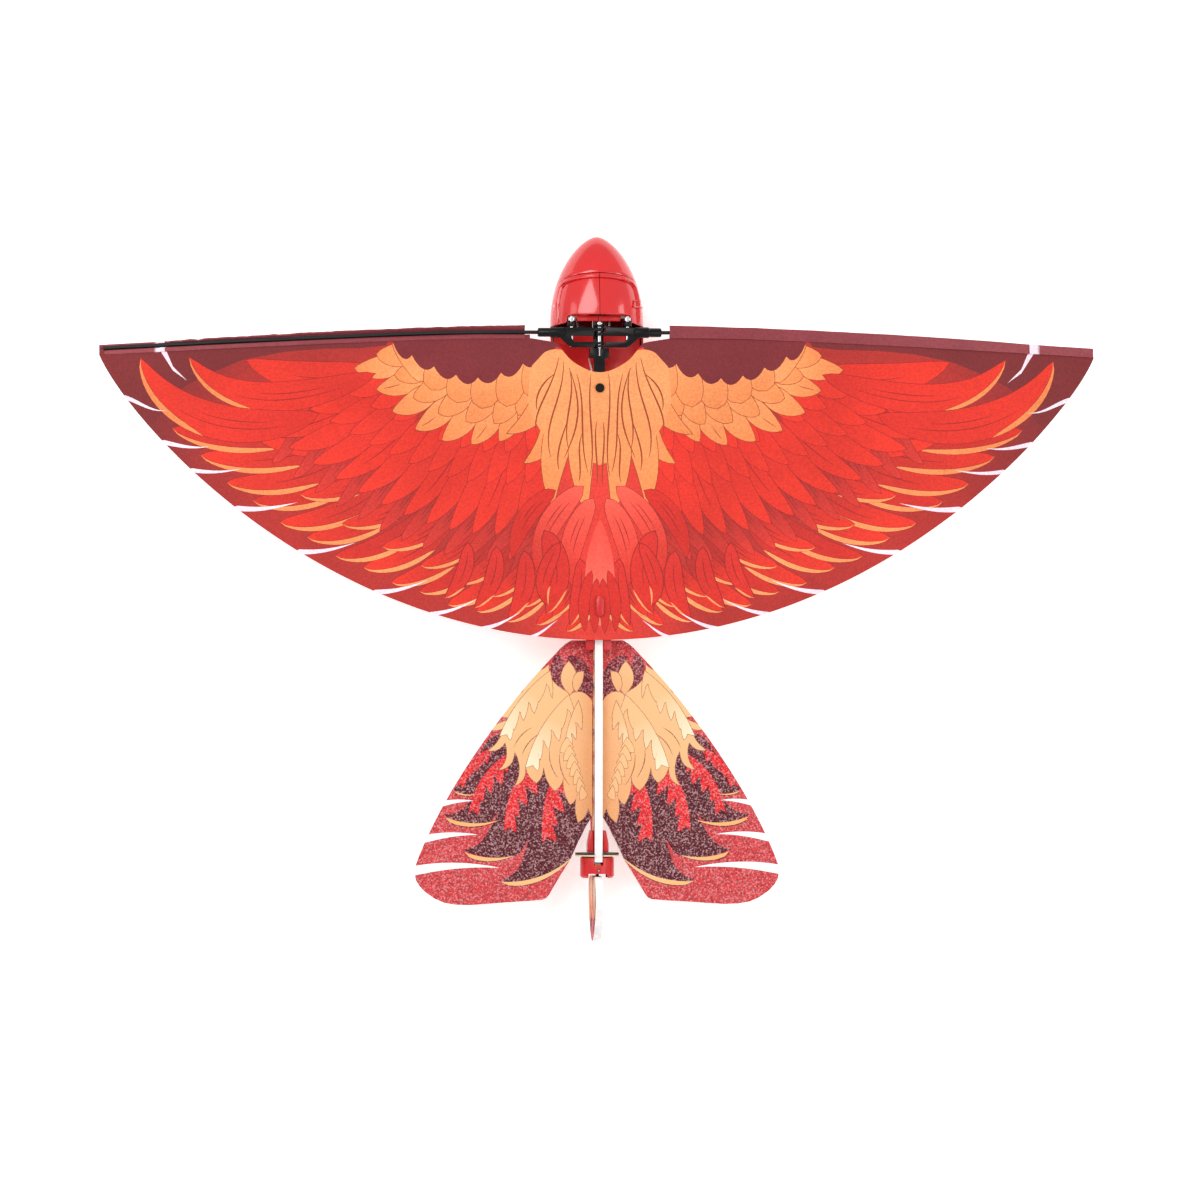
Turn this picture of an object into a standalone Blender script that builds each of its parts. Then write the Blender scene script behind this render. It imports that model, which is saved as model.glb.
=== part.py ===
# Flapping-wing toy bird: moulded body with a crank-driven wing mechanism, cloth wing,
# foam tail and a magnet-and-coil rudder.
#
# +X is the bird's right, +Y towards the beak, +Z up. Pieces are modelled in millimetres with
# the origin on the wing hinge axle, between the two levers. Meshes are scaled to metres as
# each piece is finished. The last step centres the bird lengthwise and stands it on the ground.
import math

import bmesh
import bpy
from mathutils import Matrix, Vector

for old in list(bpy.data.objects):
    bpy.data.objects.remove(old, do_unlink=True)

# ------------------------------------------------------------------ driving dimensions (mm)
MM = 0.001
GAP = 0.3                     # clearance between neighbouring pieces
SIDES = ((-1, "left"), (1, "right"))

# body shell: egg-shaped, split on the centre plane, with a separate nose cap
SHELL_HALF_W = 23.5
SHELL_ZC = -15.0              # height of the widest line
SHELL_UP = 19.0               # rise of the crown above it
SHELL_DOWN = 24.0             # fall of the belly below it
SHELL_WALL = 1.2
BELLY_Z = -37.5               # flat underside
Y_NOSE = 49.5
Y_TAILEND = -50.0
Y_FULL_F, Y_FULL_R = 5.0, -8.0   # full width between these
REAR_TAPER = 47.0             # length over which the rear would close to a point
CAP_EDGE_Y = 24.0             # rear edge of the nose cap, at the sides and below
CAP_ARCH = 7.0                # the edge is this much further forward at the crown
CAP_WALL = SHELL_WALL - 0.3
Y_OPEN = 10.0                 # front edge of the top opening
OPEN_HALF_W = 16.8
OPEN_CORNER_R = 2.6
RIM_Z = -12.6                 # rim height beside and behind the levers
RIM_DIP_Y, RIM_DIP_LENGTH = 6.1, 2.2   # where the rim starts down, and over what length

# wing hinge and levers
AXLE_R = 0.8
KNUCKLE_R = 2.3
LEVER_PIN_X = 14.0
SOCKET_R = 2.75
SOCKET_X0, SOCKET_X1 = 17.0, 31.0
SOCKET_Y = 0.75
ARM_HALF_T = 1.7
ARM_Y = (-0.95, 3.15)         # front arm
STRUT_Y0, STRUT_Y1 = -6.7, -4.0   # inner end of the rear strut

# wing
HALF_SPAN = 250.0
SPAR_R = 1.0
SPAR_BEND_X = 60              # straight inboard of this, swept back outboard
SPAR_SWEEP = 8.9
CLOTH_Z = (1.4, 1.8)          # underside and top
MID_HALF_W = 4.2
LE_ROOT_X, LE_ROOT_Y, LE_SWEEP = 35.0, 4.7, 11.7
TE_TIP_Y, CHORD = -10.0, 143.0
PEG_Y = -27

# gear train
MODULE = 0.5
PRESSURE_ANGLE = math.radians(20)
TOOTH_THICKNESS = 0.80        # share of the nominal tooth thickness
ADDENDUM, DEDENDUM = 0.8, 1.05   # in modules
CRANK_T, IDLER_BIG_T, IDLER_SMALL_T, PINION_T = 42, 30, 10, 9
CRANK_X = MODULE * CRANK_T / 2
CRANK_Z = -16.3
CRANK_THROW = 6.4
CRANK_REST = math.radians(-5.0)   # crank pin angle above the horizontal, outboard side
PIN_X = CRANK_X + CRANK_THROW * math.cos(CRANK_REST)
PIN_Z = CRANK_Z + CRANK_THROW * math.sin(CRANK_REST)
IDLER_X = 3.5
IDLER_DISTANCE = MODULE * (CRANK_T + IDLER_SMALL_T) / 2
IDLER_Z = CRANK_Z - math.sqrt(IDLER_DISTANCE ** 2 - (CRANK_X - IDLER_X) ** 2)
PINION_DISTANCE = MODULE * (IDLER_BIG_T + PINION_T) / 2
PINION_X = IDLER_X - PINION_DISTANCE * math.cos(math.radians(45))
PINION_Z = IDLER_Z + PINION_DISTANCE * math.sin(math.radians(45))
Y_GEAR0, Y_GEAR1 = 8.2, 10.2
Y_BIG0, Y_BIG1 = 10.8, 12.2
Y_PLATE0, Y_PLATE1 = 13.0, 14.8

# shell screws, in the edges of the gearbox plate
SCREW_Y = (Y_PLATE0 + Y_PLATE1) / 2
SCREW_HEIGHTS = ((-11.0, "upper"), (-24.0, "lower"))

# boom and the hook of the tail bracket
BOOM_R = 1.4
BOOM_Z = -1.4
HOOK_HALF_W = 1.3
HOOK_Y0, HOOK_Y1 = -134.0, -131.0
HOOK_GAP = 0.4

# tail
TAIL_Z = -13.0
TAIL_T = 3.0
KEEL_T = 4.0
KEEL_SLOT = (-KEEL_T / 2 - GAP, KEEL_T / 2 + GAP)   # x range of slots round the keel
KEEL_SLOT_Z = TAIL_Z + 1.0    # floor of those in the actuator board and cup
Y_KEEL_F, Y_KEEL_R = -146.0, -264.4
BOARD_R = 11.0
CUP_Y = -261.8
CUP_R = 8.5
RUDDER_Y = -268.5
RUDDER_ORIGIN = (0, RUDDER_Y, TAIL_Z)


# ------------------------------------------------------------------ materials
def make_material(name, color, roughness, metallic=0.0):
    material = bpy.data.materials.new(name)
    material.use_nodes = True
    inputs = material.node_tree.nodes["Principled BSDF"].inputs
    inputs["Base Color"].default_value = (*color, 1)
    inputs["Roughness"].default_value = roughness
    inputs["Metallic"].default_value = metallic
    return material


RED = make_material("shell_red", color=(0.66, 0.012, 0.016), roughness=0.18)
BLACK = make_material("nylon_black", color=(0.012, 0.012, 0.013), roughness=0.4)
STEEL = make_material("pin_steel", color=(0.62, 0.62, 0.64), roughness=0.25, metallic=1.0)
CARBON = make_material("carbon_rod", color=(0.015, 0.015, 0.017), roughness=0.35)
CLOTH = make_material("wing_cloth", color=(0.62, 0.06, 0.04), roughness=0.85)
FOAM = make_material("tail_foam", color=(0.42, 0.05, 0.06), roughness=0.8)
GEAR_WHITE = make_material("gear_nylon", color=(0.78, 0.77, 0.72), roughness=0.4)
COPPER = make_material("coil_copper", color=(0.6, 0.25, 0.1), roughness=0.35, metallic=1.0)
BOARD_BLACK = make_material("board_black", color=(0.02, 0.02, 0.02), roughness=0.45)
BOARD_GREEN = make_material("board_green", color=(0.02, 0.13, 0.06), roughness=0.4)
FOIL = make_material("battery_foil", color=(0.6, 0.6, 0.62), roughness=0.35, metallic=1.0)
CONNECTOR = make_material("connector_white", color=(0.8, 0.79, 0.74), roughness=0.45)
WIRE = make_material("wire_white", color=(0.8, 0.8, 0.78), roughness=0.5)
MAGNET = make_material("magnet_nickel", color=(0.7, 0.7, 0.7), roughness=0.2, metallic=1.0)


# ------------------------------------------------------------------ solids
def solid(verts, faces):
    """Mesh object with its faces turned outwards; it gets its name in finish()."""
    mesh = bpy.data.meshes.new("part")
    mesh.from_pydata([tuple(v) for v in verts], [], faces)
    bm = bmesh.new()
    bm.from_mesh(mesh)
    bmesh.ops.recalc_face_normals(bm, faces=bm.faces[:])
    if bm.calc_volume(signed=True) < 0:
        bmesh.ops.reverse_faces(bm, faces=bm.faces[:])
    bm.to_mesh(mesh)
    bm.free()
    obj = bpy.data.objects.new("part", mesh)
    bpy.context.scene.collection.objects.link(obj)
    return obj


def box(x_range, y_range, z_range):
    verts = [(x, y, z) for x in x_range for y in y_range for z in z_range]
    faces = [(0, 1, 3, 2), (4, 6, 7, 5), (0, 4, 5, 1), (2, 3, 7, 6), (0, 2, 6, 4), (1, 5, 7, 3)]
    return solid(verts, faces)


def extrude(points, axis, t0, t1):
    """Extrude a polygon. Its points are (x, y) along z, (x, z) along y, (y, z) along x."""
    def place(p, t):
        return {"z": (p[0], p[1], t), "y": (p[0], t, p[1]), "x": (t, p[0], p[1])}[axis]
    n = len(points)
    verts = [place(p, t) for t in (t0, t1) for p in points]
    faces = [tuple(range(n)), tuple(range(2 * n - 1, n - 1, -1))]
    faces += [(i, (i + 1) % n, n + (i + 1) % n, n + i) for i in range(n)]
    return solid(verts, faces)


def circle(centre, u, v, radius, segments):
    angles = [2 * math.pi * (k + 0.5) / segments for k in range(segments)]
    return [centre + (u * math.cos(a) + v * math.sin(a)) * radius for a in angles]


def loft(circles, closed=False):
    """Join equal circles in order: capped at both ends, or closed last to first."""
    n, segments = len(circles), len(circles[0])
    faces = []
    for i in range(n if closed else n - 1):
        this, following = i * segments, (i + 1) % n * segments
        for k in range(segments):
            k2 = (k + 1) % segments
            faces.append((this + k, this + k2, following + k2, following + k))
    if not closed:
        faces.append(tuple(range(segments)))
        faces.append(tuple((n - 1) * segments + k for k in range(segments)))
    return solid([p for points in circles for p in points], faces)


def turned(start, axis, profile, segments, closed=False):
    """Solid of revolution about a coordinate axis from (distance along it, radius) pairs."""
    start, w = Vector(start), Vector(axis).normalized()
    u = Vector((0, 0, 1)) if abs(w.z) < 0.9 else Vector((1, 0, 0))
    v = w.cross(u)
    return loft([circle(start + w * t, u, v, r, segments) for t, r in profile], closed)


def rod(start, end, radius, segments):
    axis = Vector(end) - Vector(start)
    return turned(start, axis, [(0, radius), (axis.length, radius)], segments)


def rod_y(x, z, y0, y1, radius, segments):
    return rod((x, y0, z), (x, y1, z), radius, segments)


def tube_path(points, radius, segments):
    """Round rod along a polyline."""
    points = [Vector(p) for p in points]
    last = len(points) - 1
    circles = []
    for i, p in enumerate(points):
        along = (points[min(i + 1, last)] - points[max(i - 1, 0)]).normalized()
        up = Vector((0, 0, 1)) if abs(along.z) < 0.9 else Vector((0, 1, 0))
        across = along.cross(up).normalized()
        circles.append(circle(p, across, across.cross(along), radius, segments))
    return loft(circles)


def thick_patch(outer, inner):
    """Closed solid between two equal grids of points."""
    nu, nv = len(outer), len(outer[0])
    verts = [p for grid in (outer, inner) for row in grid for p in row]
    m = nu * nv
    faces = []
    for i in range(nu - 1):
        for j in range(nv - 1):
            a, b = i * nv + j, i * nv + j + 1
            c, d = b + nv, a + nv
            faces.append((a, b, c, d))
            faces.append((m + d, m + c, m + b, m + a))
    for i in range(nu - 1):
        a, d = i * nv, (i + 1) * nv
        faces.append((a, d, m + d, m + a))
        a, d = a + nv - 1, d + nv - 1
        faces.append((d, a, m + a, m + d))
    for j in range(nv - 1):
        a, b = j, j + 1
        faces.append((b, a, m + a, m + b))
        a, b = a + m - nv, b + m - nv
        faces.append((a, b, m + b, m + a))
    return solid(verts, faces)


def gear(teeth, x, z, y0, y1, phase, flank_steps):
    """Spur gear about a Y axis with involute flanks. phase: direction of one tooth's centre."""
    pitch_r = MODULE * teeth / 2
    base_r = pitch_r * math.cos(PRESSURE_ANGLE)
    tip_r = pitch_r + ADDENDUM * MODULE
    root_r = pitch_r - DEDENDUM * MODULE

    def involute(angle):
        return math.tan(angle) - angle

    def half_tooth(radius):
        angle = math.acos(base_r / max(radius, base_r))
        nominal = TOOTH_THICKNESS * math.pi / (2 * teeth)
        return nominal + involute(PRESSURE_ANGLE) - involute(angle)

    start_r = max(root_r, base_r)
    radii = [root_r] + ([base_r] if base_r > root_r + 0.02 else [])
    radii += [start_r + (tip_r - start_r) * (k + 1) / flank_steps for k in range(flank_steps)]
    polar = []
    for tooth in range(teeth):
        centre = phase + 2 * math.pi * tooth / teeth
        polar += [(r, centre - half_tooth(r)) for r in radii]
        polar += [(r, centre + half_tooth(r)) for r in reversed(radii)]
    return extrude([(x + r * math.cos(a), z + r * math.sin(a)) for r, a in polar], "y", y0, y1)


# ------------------------------------------------------------------ working on solids
def bake(obj):
    """Replace the object's mesh by its evaluated one and drop the modifiers."""
    bpy.context.view_layer.update()
    depsgraph = bpy.context.evaluated_depsgraph_get()
    mesh = bpy.data.meshes.new_from_object(obj.evaluated_get(depsgraph))
    obj.modifiers.clear()
    obj.data = mesh


def boolean(obj, tools, operation):
    for tool in tools:
        modifier = obj.modifiers.new("boolean", "BOOLEAN")
        modifier.operation = operation
        modifier.solver = "EXACT"
        modifier.object = tool
    bake(obj)
    for tool in tools:
        bpy.data.objects.remove(tool, do_unlink=True)


def union(obj, *tools):
    boolean(obj, tools, "UNION")


def cut(obj, *tools):
    boolean(obj, tools, "DIFFERENCE")


def mirrored(obj):
    mesh = obj.data.copy()
    mesh.transform(Matrix.Scale(-1, 4, (1, 0, 0)))
    mesh.flip_normals()
    copy = bpy.data.objects.new("part", mesh)
    bpy.context.scene.collection.objects.link(copy)
    return copy


def finish(obj, name, material, origin=(0, 0, 0)):
    """Name, clean, scale to metres and shade a piece; origin (mm) is its turning point."""
    obj.name = name
    mesh = obj.data
    bm = bmesh.new()
    bm.from_mesh(mesh)
    bmesh.ops.remove_doubles(bm, verts=bm.verts[:], dist=0.002)
    bmesh.ops.dissolve_degenerate(bm, dist=0.001, edges=bm.edges[:])
    bm.to_mesh(mesh)
    bm.free()
    mesh.transform(Matrix.Scale(MM, 4))
    mesh.materials.clear()
    mesh.materials.append(material)
    mesh.shade_smooth()
    mesh.set_sharp_from_angle(angle=math.radians(30))
    obj.location = Vector(origin) * MM
    mesh.transform(Matrix.Translation(-obj.location))


# ------------------------------------------------------------------ shell surface
def width_at(y):
    """Half width of the body."""
    if y > Y_FULL_F:
        return SHELL_HALF_W * (1 - ((y - Y_FULL_F) / (Y_NOSE - Y_FULL_F)) ** 2) ** 0.62
    if y < Y_FULL_R:
        return SHELL_HALF_W * (1 - ((Y_FULL_R - y) / REAR_TAPER) ** 2) ** 0.55
    return SHELL_HALF_W


def shell_point(y, angle, inset=0.0):
    """Right-hand surface point: angle 0 is the keel line, pi the crown."""
    width = width_at(y)
    scale = width / SHELL_HALF_W
    cosine = math.cos(angle)
    height = (SHELL_DOWN if cosine > 0 else SHELL_UP) * scale - inset
    z = max(SHELL_ZC - height * cosine, BELLY_Z + inset)
    return Vector(((width - inset) * math.sin(angle), y, z))


def rim_angle(y):
    """Section angle at which the shell half ends: the crown, or the rim of the opening."""
    if y >= Y_OPEN:
        return math.pi
    # quarter-round corner of the opening, then the straight side, then the dip for the levers
    x = OPEN_HALF_W
    if y > Y_OPEN - OPEN_CORNER_R:
        d = (Y_OPEN - y) / OPEN_CORNER_R
        x -= OPEN_CORNER_R * (1 - math.sqrt(1 - (1 - d) ** 2))
    width = width_at(y)
    top = math.pi - math.asin(min(1, x / width))
    low = math.pi / 2 + math.asin((RIM_Z - SHELL_ZC) / (SHELL_UP * width / SHELL_HALF_W))
    t = max(0.0, min(1.0, (RIM_DIP_Y - y) / RIM_DIP_LENGTH))
    return top + (low - top) * t * t * (3 - 2 * t)


def cap_edge_y(angle):
    """Rear edge of the nose cap round the section."""
    return CAP_EDGE_Y + CAP_ARCH * max(0.0, -math.cos(angle)) ** 0.8


# ------------------------------------------------------------------ shell pieces
# Rows along the right half, front to rear. First the lip inside the nose cap and the step out
# to the full surface: (distance ahead of the cap's edge, inset).
LIP_ROWS = ((2.6, 1.2), (-0.35, 1.2), (-0.45, 0.0), (-1.6, 0.0))
# then shares of the way from the top opening to the last of those
BLEND_ROWS = (0.75, 0.5, 0.25, 0.1)
# then plain y stations, closest round the corner and dip of the rim
STATIONS = (Y_OPEN + 0.02, Y_OPEN - 0.02, 9.5, 8.8, 8.0, 7.2, 6.1, 5.5, 5.0, 4.5, 3.9,
            2, -3, -8, -14, -20, -27, -34, -41, -46, Y_TAILEND)
SHELL_COLUMNS = 15
CROWN_INSET = 0.6             # how far the crown ahead of the opening is lowered
RIM_WALL = 0.5                # the wall thins to a light edge round the opening


def shell_half_solid():
    rows = [(lambda a, lead=lead: cap_edge_y(a) + lead, inset) for lead, inset in LIP_ROWS]
    joint = LIP_ROWS[-1][0]
    rows += [(lambda a, s=s: Y_OPEN + (cap_edge_y(a) + joint - Y_OPEN) * s, 0.0)
             for s in BLEND_ROWS]
    rows += [(lambda a, y=y: y, 0.0) for y in STATIONS]

    def point(y, angle, inset):
        p = shell_point(y, angle, inset)
        p.x = max(p.x, GAP / 2)
        return p

    outer, inner = [], []
    last = SHELL_COLUMNS - 1
    for y_at, inset in rows:
        outer.append([])
        inner.append([])
        for j in range(SHELL_COLUMNS):
            angle = rim_angle(y_at(math.pi)) * j / last
            y = y_at(angle)
            crown = 0.0
            if y > Y_OPEN + 0.5 and inset == 0:
                crown = CROWN_INSET * max(0.0, -math.cos(angle))
            wall = max(inset + 0.9, SHELL_WALL + crown)
            if y < Y_OPEN - 0.2 and j == last:
                wall = RIM_WALL
            outer[-1].append(point(y, angle, inset + crown))
            inner[-1].append(point(y, angle, wall))
    return thick_patch(outer, inner)


def make_shells():
    right = shell_half_solid()
    cut(right, *(rod((14, SCREW_Y, z), (30, SCREW_Y, z), 1.3, 12) for z, _ in SCREW_HEIGHTS))
    left = mirrored(right)
    # switch window in the right half and charge socket window in the left half
    cut(right, box((2.0, 6.0), (-7.0, 3.0), (-40, -34)))
    cut(left, box((-7.6, -2.4), (-6.0, 0.0), (-40, -34)))
    finish(right, "shell_right", RED)
    finish(left, "shell_left", RED)


def make_nose():
    """Cap over the front: full turn round, open to the rear, its edge arched at the crown."""
    segments, rows = 28, 11

    def point(t, angle, inset):
        y0 = cap_edge_y(angle)
        y = y0 + (Y_NOSE - 0.4 - inset - y0) * math.sin(t * math.pi / 2)
        if angle <= math.pi:
            return shell_point(y, angle, inset)
        p = shell_point(y, 2 * math.pi - angle, inset)
        p.x = -p.x
        return p

    verts = [point(i / (rows - 0.2), 2 * math.pi * k / segments, inset)
             for inset in (0.0, CAP_WALL) for i in range(rows) for k in range(segments)]
    m = rows * segments
    tip = len(verts)
    verts += [Vector((0, Y_NOSE, SHELL_ZC)), Vector((0, Y_NOSE - 1.3, SHELL_ZC))]
    turns = [(k, (k + 1) % segments) for k in range(segments)]
    faces = []
    for layer, winding in ((0, 1), (1, -1)):      # outer skin, then inner skin reversed
        first = layer * m
        for i in range(rows - 1):
            a, b = first + i * segments, first + (i + 1) * segments
            faces += [(a + k, a + k2, b + k2, b + k)[::winding] for k, k2 in turns]
        a = first + (rows - 1) * segments
        faces += [(a + k, a + k2, tip + layer)[::winding] for k, k2 in turns]
    faces += [(k2, k, m + k, m + k2) for k, k2 in turns]
    finish(solid(verts, faces), "nose_cap", RED)


# ------------------------------------------------------------------ frame, hinge and levers
PLATE_OUTLINE = [(-17, -7), (-13, -4.6), (13, -4.6), (17, -7),      # (x, z)
                 (17, -25), (9, -34.5), (-9, -34.5), (-17, -25)]
POST_OUTLINE = [(-2.2, -6.5), (2.2, -6.5), (2.2, 0.6), (1.4, 2.1), (-1.4, 2.1), (-2.2, 0.6)]


def make_gearbox_frame():
    """Plate, spine under the hinge, front and rear hinge posts, boom socket."""
    frame = extrude(PLATE_OUTLINE, "y", Y_PLATE0, Y_PLATE1)
    spine = box((-2.5, 2.5), (-12.0, Y_PLATE0 + 0.5), (-8.0, -5.4))
    front_post = extrude(POST_OUTLINE, "y", 3.55, 4.5)
    rear_post = box((-4.75, 4.75), (-12.0, -7.1), (-6.5, 0.9))
    boom_socket = box((-2.75, 2.75), (-32.0, -11.5), (-3.6, 0.9))
    union(frame, spine, front_post, rear_post, boom_socket)
    holes = [rod_y(0, 0, 20, -11.3, AXLE_R + 0.25, 12)]
    holes += [rod_y(side * CRANK_X, CRANK_Z, 20, 5, 1.0, 12) for side, _ in SIDES]
    holes += [rod_y(IDLER_X, IDLER_Z, 20, 5, 0.85, 12),
              rod_y(PINION_X, PINION_Z, 20, 5, 2.6, 16),
              rod_y(0, BOOM_Z, -13.4, -40, BOOM_R + 0.4, 12),
              rod((0, PEG_Y, -1), (0, PEG_Y, 4), 1.0, 12)]
    holes += [rod((side * 11, SCREW_Y, z), (side * 20, SCREW_Y, z), 0.62, 8)
              for side, _ in SIDES for z, _ in SCREW_HEIGHTS]
    cut(frame, *holes)
    finish(frame, "gearbox_frame", BLACK)


def make_hinge_axle():
    """Axle with a collar near its front end."""
    profile = [(0, 0.55), (0.3, AXLE_R), (0.8, AXLE_R), (0.8, 1.6), (1.5, 1.6), (1.5, AXLE_R),
               (17.3, AXLE_R)]
    finish(turned((0, 6.4, 0), (0, -1, 0), profile, 12), "hinge_axle", STEEL)


ARM_INNER_X = 2.9
STRUT_OUTLINE = [(ARM_INNER_X, STRUT_Y0), (ARM_INNER_X, STRUT_Y1), (12.6, STRUT_Y1),   # (x, y)
                 (17.2, 1.2), (21.0, 1.2), (21.0, -0.9), (15.2, -6.0), (13.8, STRUT_Y0)]
SOCKET_LENGTH = SOCKET_X1 - SOCKET_X0
SOCKET_PROFILE = [(0, 1.9), (0.9, SOCKET_R), (7.5, SOCKET_R), (8.0, 2.3),
                  (SOCKET_LENGTH - 0.6, 2.3), (SOCKET_LENGTH, 2.0)]
# y ranges of the hinge knuckles; those of the two levers interleave
KNUCKLES = {"left": ((1.2, ARM_Y[1]), (-5.2, STRUT_Y1)),
            "right": ((ARM_Y[0], 0.85), (STRUT_Y0, -5.55))}


def make_lever(side, tag):
    x0, x1 = side * ARM_INNER_X, side * (SOCKET_X0 + 2)
    arm = extrude([(x0, ARM_Y[0]), (x0, ARM_Y[1]), (x1, ARM_Y[1]), (x1, ARM_Y[0])],
                  "z", -ARM_HALF_T, ARM_HALF_T)
    strut = extrude([(side * x, y) for x, y in STRUT_OUTLINE],
                    "z", -ARM_HALF_T + 0.1, ARM_HALF_T - 0.1)
    parts = [strut, turned((side * SOCKET_X0, SOCKET_Y, 0), (side, 0, 0), SOCKET_PROFILE, 16)]
    for y0, y1 in KNUCKLES[tag]:
        parts.append(rod_y(0, 0, y0, y1, KNUCKLE_R, 16))
        parts.append(box(sorted((0, side * 3.6)), (y0, y1), (-1.5, 1.5)))
    union(arm, *parts)
    cut(arm,
        rod_y(0, 0, 8, -10, AXLE_R + 0.15, 16),
        rod_y(side * LEVER_PIN_X, 0, 8, -10, 1.05, 12),
        rod((side * 21.5, SOCKET_Y, 0), (side * 40, SOCKET_Y, 0), SPAR_R + 0.3, 12))
    finish(arm, "lever_" + tag, BLACK)


def make_lever_pin(side, tag):
    profile = [(0, 0.5), (0.3, 0.75), (0.9, 0.75), (0.9, 1.7), (2.3, 1.7), (2.3, 0.75),
               (15.4, 0.75)]
    pin = turned((side * LEVER_PIN_X, 9.0, 0), (0, -1, 0), profile, 12)
    finish(pin, "lever_pin_" + tag, STEEL)


# ------------------------------------------------------------------ cranks and gears
ROD_Y0, ROD_Y1 = 3.75, 6.2
CONROD_HALF_W = 1.1
CONROD_EYE_R = 1.97           # open running eye on the crank pin


def make_con_rod(side, tag):
    top = Vector((side * LEVER_PIN_X, 0, 0))
    low = Vector((side * PIN_X, 0, PIN_Z))
    along = (low - top).normalized()
    across = Vector((along.z, 0, -along.x)) * CONROD_HALF_W
    a, b = top + along * 1.2, low - along * 2.0
    corners = (a + across, b + across, b - across, a - across)
    bar = extrude([corner.xz for corner in corners], "y", ROD_Y0 + 0.2, ROD_Y1 - 0.2)
    union(bar,
          rod_y(top.x, top.z, ROD_Y0, ROD_Y1, 2.1, 16),
          rod_y(low.x, low.z, ROD_Y0, ROD_Y1, 3.0, 20))
    cut(bar, rod_y(top.x, top.z, 0, 9, 1.0, 12), rod_y(low.x, low.z, 0, 9, CONROD_EYE_R, 20))
    finish(bar, "con_rod_" + tag, BLACK, origin=(side * LEVER_PIN_X, 5, 0))


def make_crank(side, tag):
    """Crank gear, its axle and its pin; gear and pin turn about the same point."""
    x = side * CRANK_X
    turning_point = (x, 9, CRANK_Z)
    # a tooth of the right gear points at a gap of the left gear
    phase = math.pi if side > 0 else math.pi / CRANK_T
    wheel = gear(CRANK_T, x, CRANK_Z, Y_GEAR0, Y_GEAR1, phase, flank_steps=1)
    cut(wheel, rod_y(x, CRANK_Z, Y_GEAR0 - 2, Y_GEAR1 + 2, 1.0, 16))
    cut(wheel, rod_y(side * PIN_X, PIN_Z, 0, 20, 0.85, 12))
    finish(wheel, "crank_gear_" + tag, GEAR_WHITE, origin=turning_point)

    axle = turned((x, Y_PLATE1 + 0.8, CRANK_Z), (0, -1, 0),
                  [(0, 1.4), (0.5, 1.4), (0.5, 0.75), (8.6, 0.75)], 12)
    finish(axle, "crank_axle_" + tag, STEEL)

    pin = turned((side * PIN_X, Y_GEAR1 + 0.1, PIN_Z), (0, -1, 0),
                 [(0, 0.6), (6.9, 0.6), (7.1, 0.45)], 12)
    finish(pin, "crank_pin_" + tag, STEEL, origin=turning_point)


def make_idler_and_motor():
    """The idler's small gear meshes with the right crank gear, its big one with the pinion."""
    to_crank = math.atan2(CRANK_Z - IDLER_Z, CRANK_X - IDLER_X)
    to_pinion = math.atan2(PINION_Z - IDLER_Z, PINION_X - IDLER_X)
    # tooth phase of the crank gear at the mesh point, carried across to the idler
    fraction = to_crank / (2 * math.pi / CRANK_T) % 1
    small_phase = to_crank + (fraction - 0.5) * 2 * math.pi / IDLER_SMALL_T
    idler = gear(IDLER_SMALL_T, IDLER_X, IDLER_Z, Y_GEAR0 - 0.2, Y_BIG0 + 0.2, small_phase,
                 flank_steps=3)
    union(idler, gear(IDLER_BIG_T, IDLER_X, IDLER_Z, Y_BIG0, Y_BIG1, to_pinion, flank_steps=2))
    cut(idler, rod_y(IDLER_X, IDLER_Z, 0, 30, 0.8, 12))
    finish(idler, "idler_gear", GEAR_WHITE, origin=(IDLER_X, 11, IDLER_Z))

    axle = turned((IDLER_X, Y_PLATE1 + 0.7, IDLER_Z), (0, -1, 0),
                  [(0, 1.2), (0.4, 1.2), (0.4, 0.6), (8.2, 0.6)], 10)
    finish(axle, "idler_axle", STEEL)

    pinion = gear(PINION_T, PINION_X, PINION_Z, Y_BIG0 - 0.2, Y_BIG1 + 0.3,
                  to_pinion + math.pi + math.pi / PINION_T, flank_steps=3)
    union(pinion, rod_y(PINION_X, PINION_Z, Y_BIG0, Y_PLATE1 + 2.6, 0.5, 10))
    finish(pinion, "motor_pinion", STEEL, origin=(PINION_X, 11, PINION_Z))

    motor = turned((PINION_X, Y_PLATE1 + 0.3, PINION_Z), (0, 1, 0),
                   [(0, 2.0), (1.0, 2.0), (1.0, 3.7), (1.4, 4.0), (15.6, 4.0), (16.0, 3.7)], 20)
    cut(motor, rod_y(PINION_X, PINION_Z, 10, Y_PLATE1 + 3.2, 0.85, 10))
    finish(motor, "motor_can", STEEL)


def make_shell_screw(side, tag, z, level):
    height = SHELL_UP if z > SHELL_ZC else SHELL_DOWN
    angle = math.pi / 2 + math.asin((z - SHELL_ZC) / height)
    head_x = shell_point(SCREW_Y, angle).x + 1.5
    neck, tip = head_x - 17.4, head_x - 13.5      # distances in from the head
    screw = turned((side * head_x, SCREW_Y, z), (-side, 0, 0),
                   [(0, 1.3), (0.3, 1.8), (0.8, 1.8), (1.0, 0.9), (neck, 0.9), (neck, 0.45),
                    (tip, 0.45)], 12)
    finish(screw, "shell_screw_%s_%s" % (tag, level), STEEL)


# ------------------------------------------------------------------ electrics in the belly
def make_battery():
    cell = box((-7, 7), (-31, -10), (-33.0, -26.5))
    modifier = cell.modifiers.new("bevel", "BEVEL")
    modifier.width = 0.8
    modifier.segments = 1
    modifier.limit_method = "ANGLE"
    modifier.angle_limit = math.radians(35)
    bake(cell)
    finish(cell, "battery_cell", FOIL)


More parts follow.
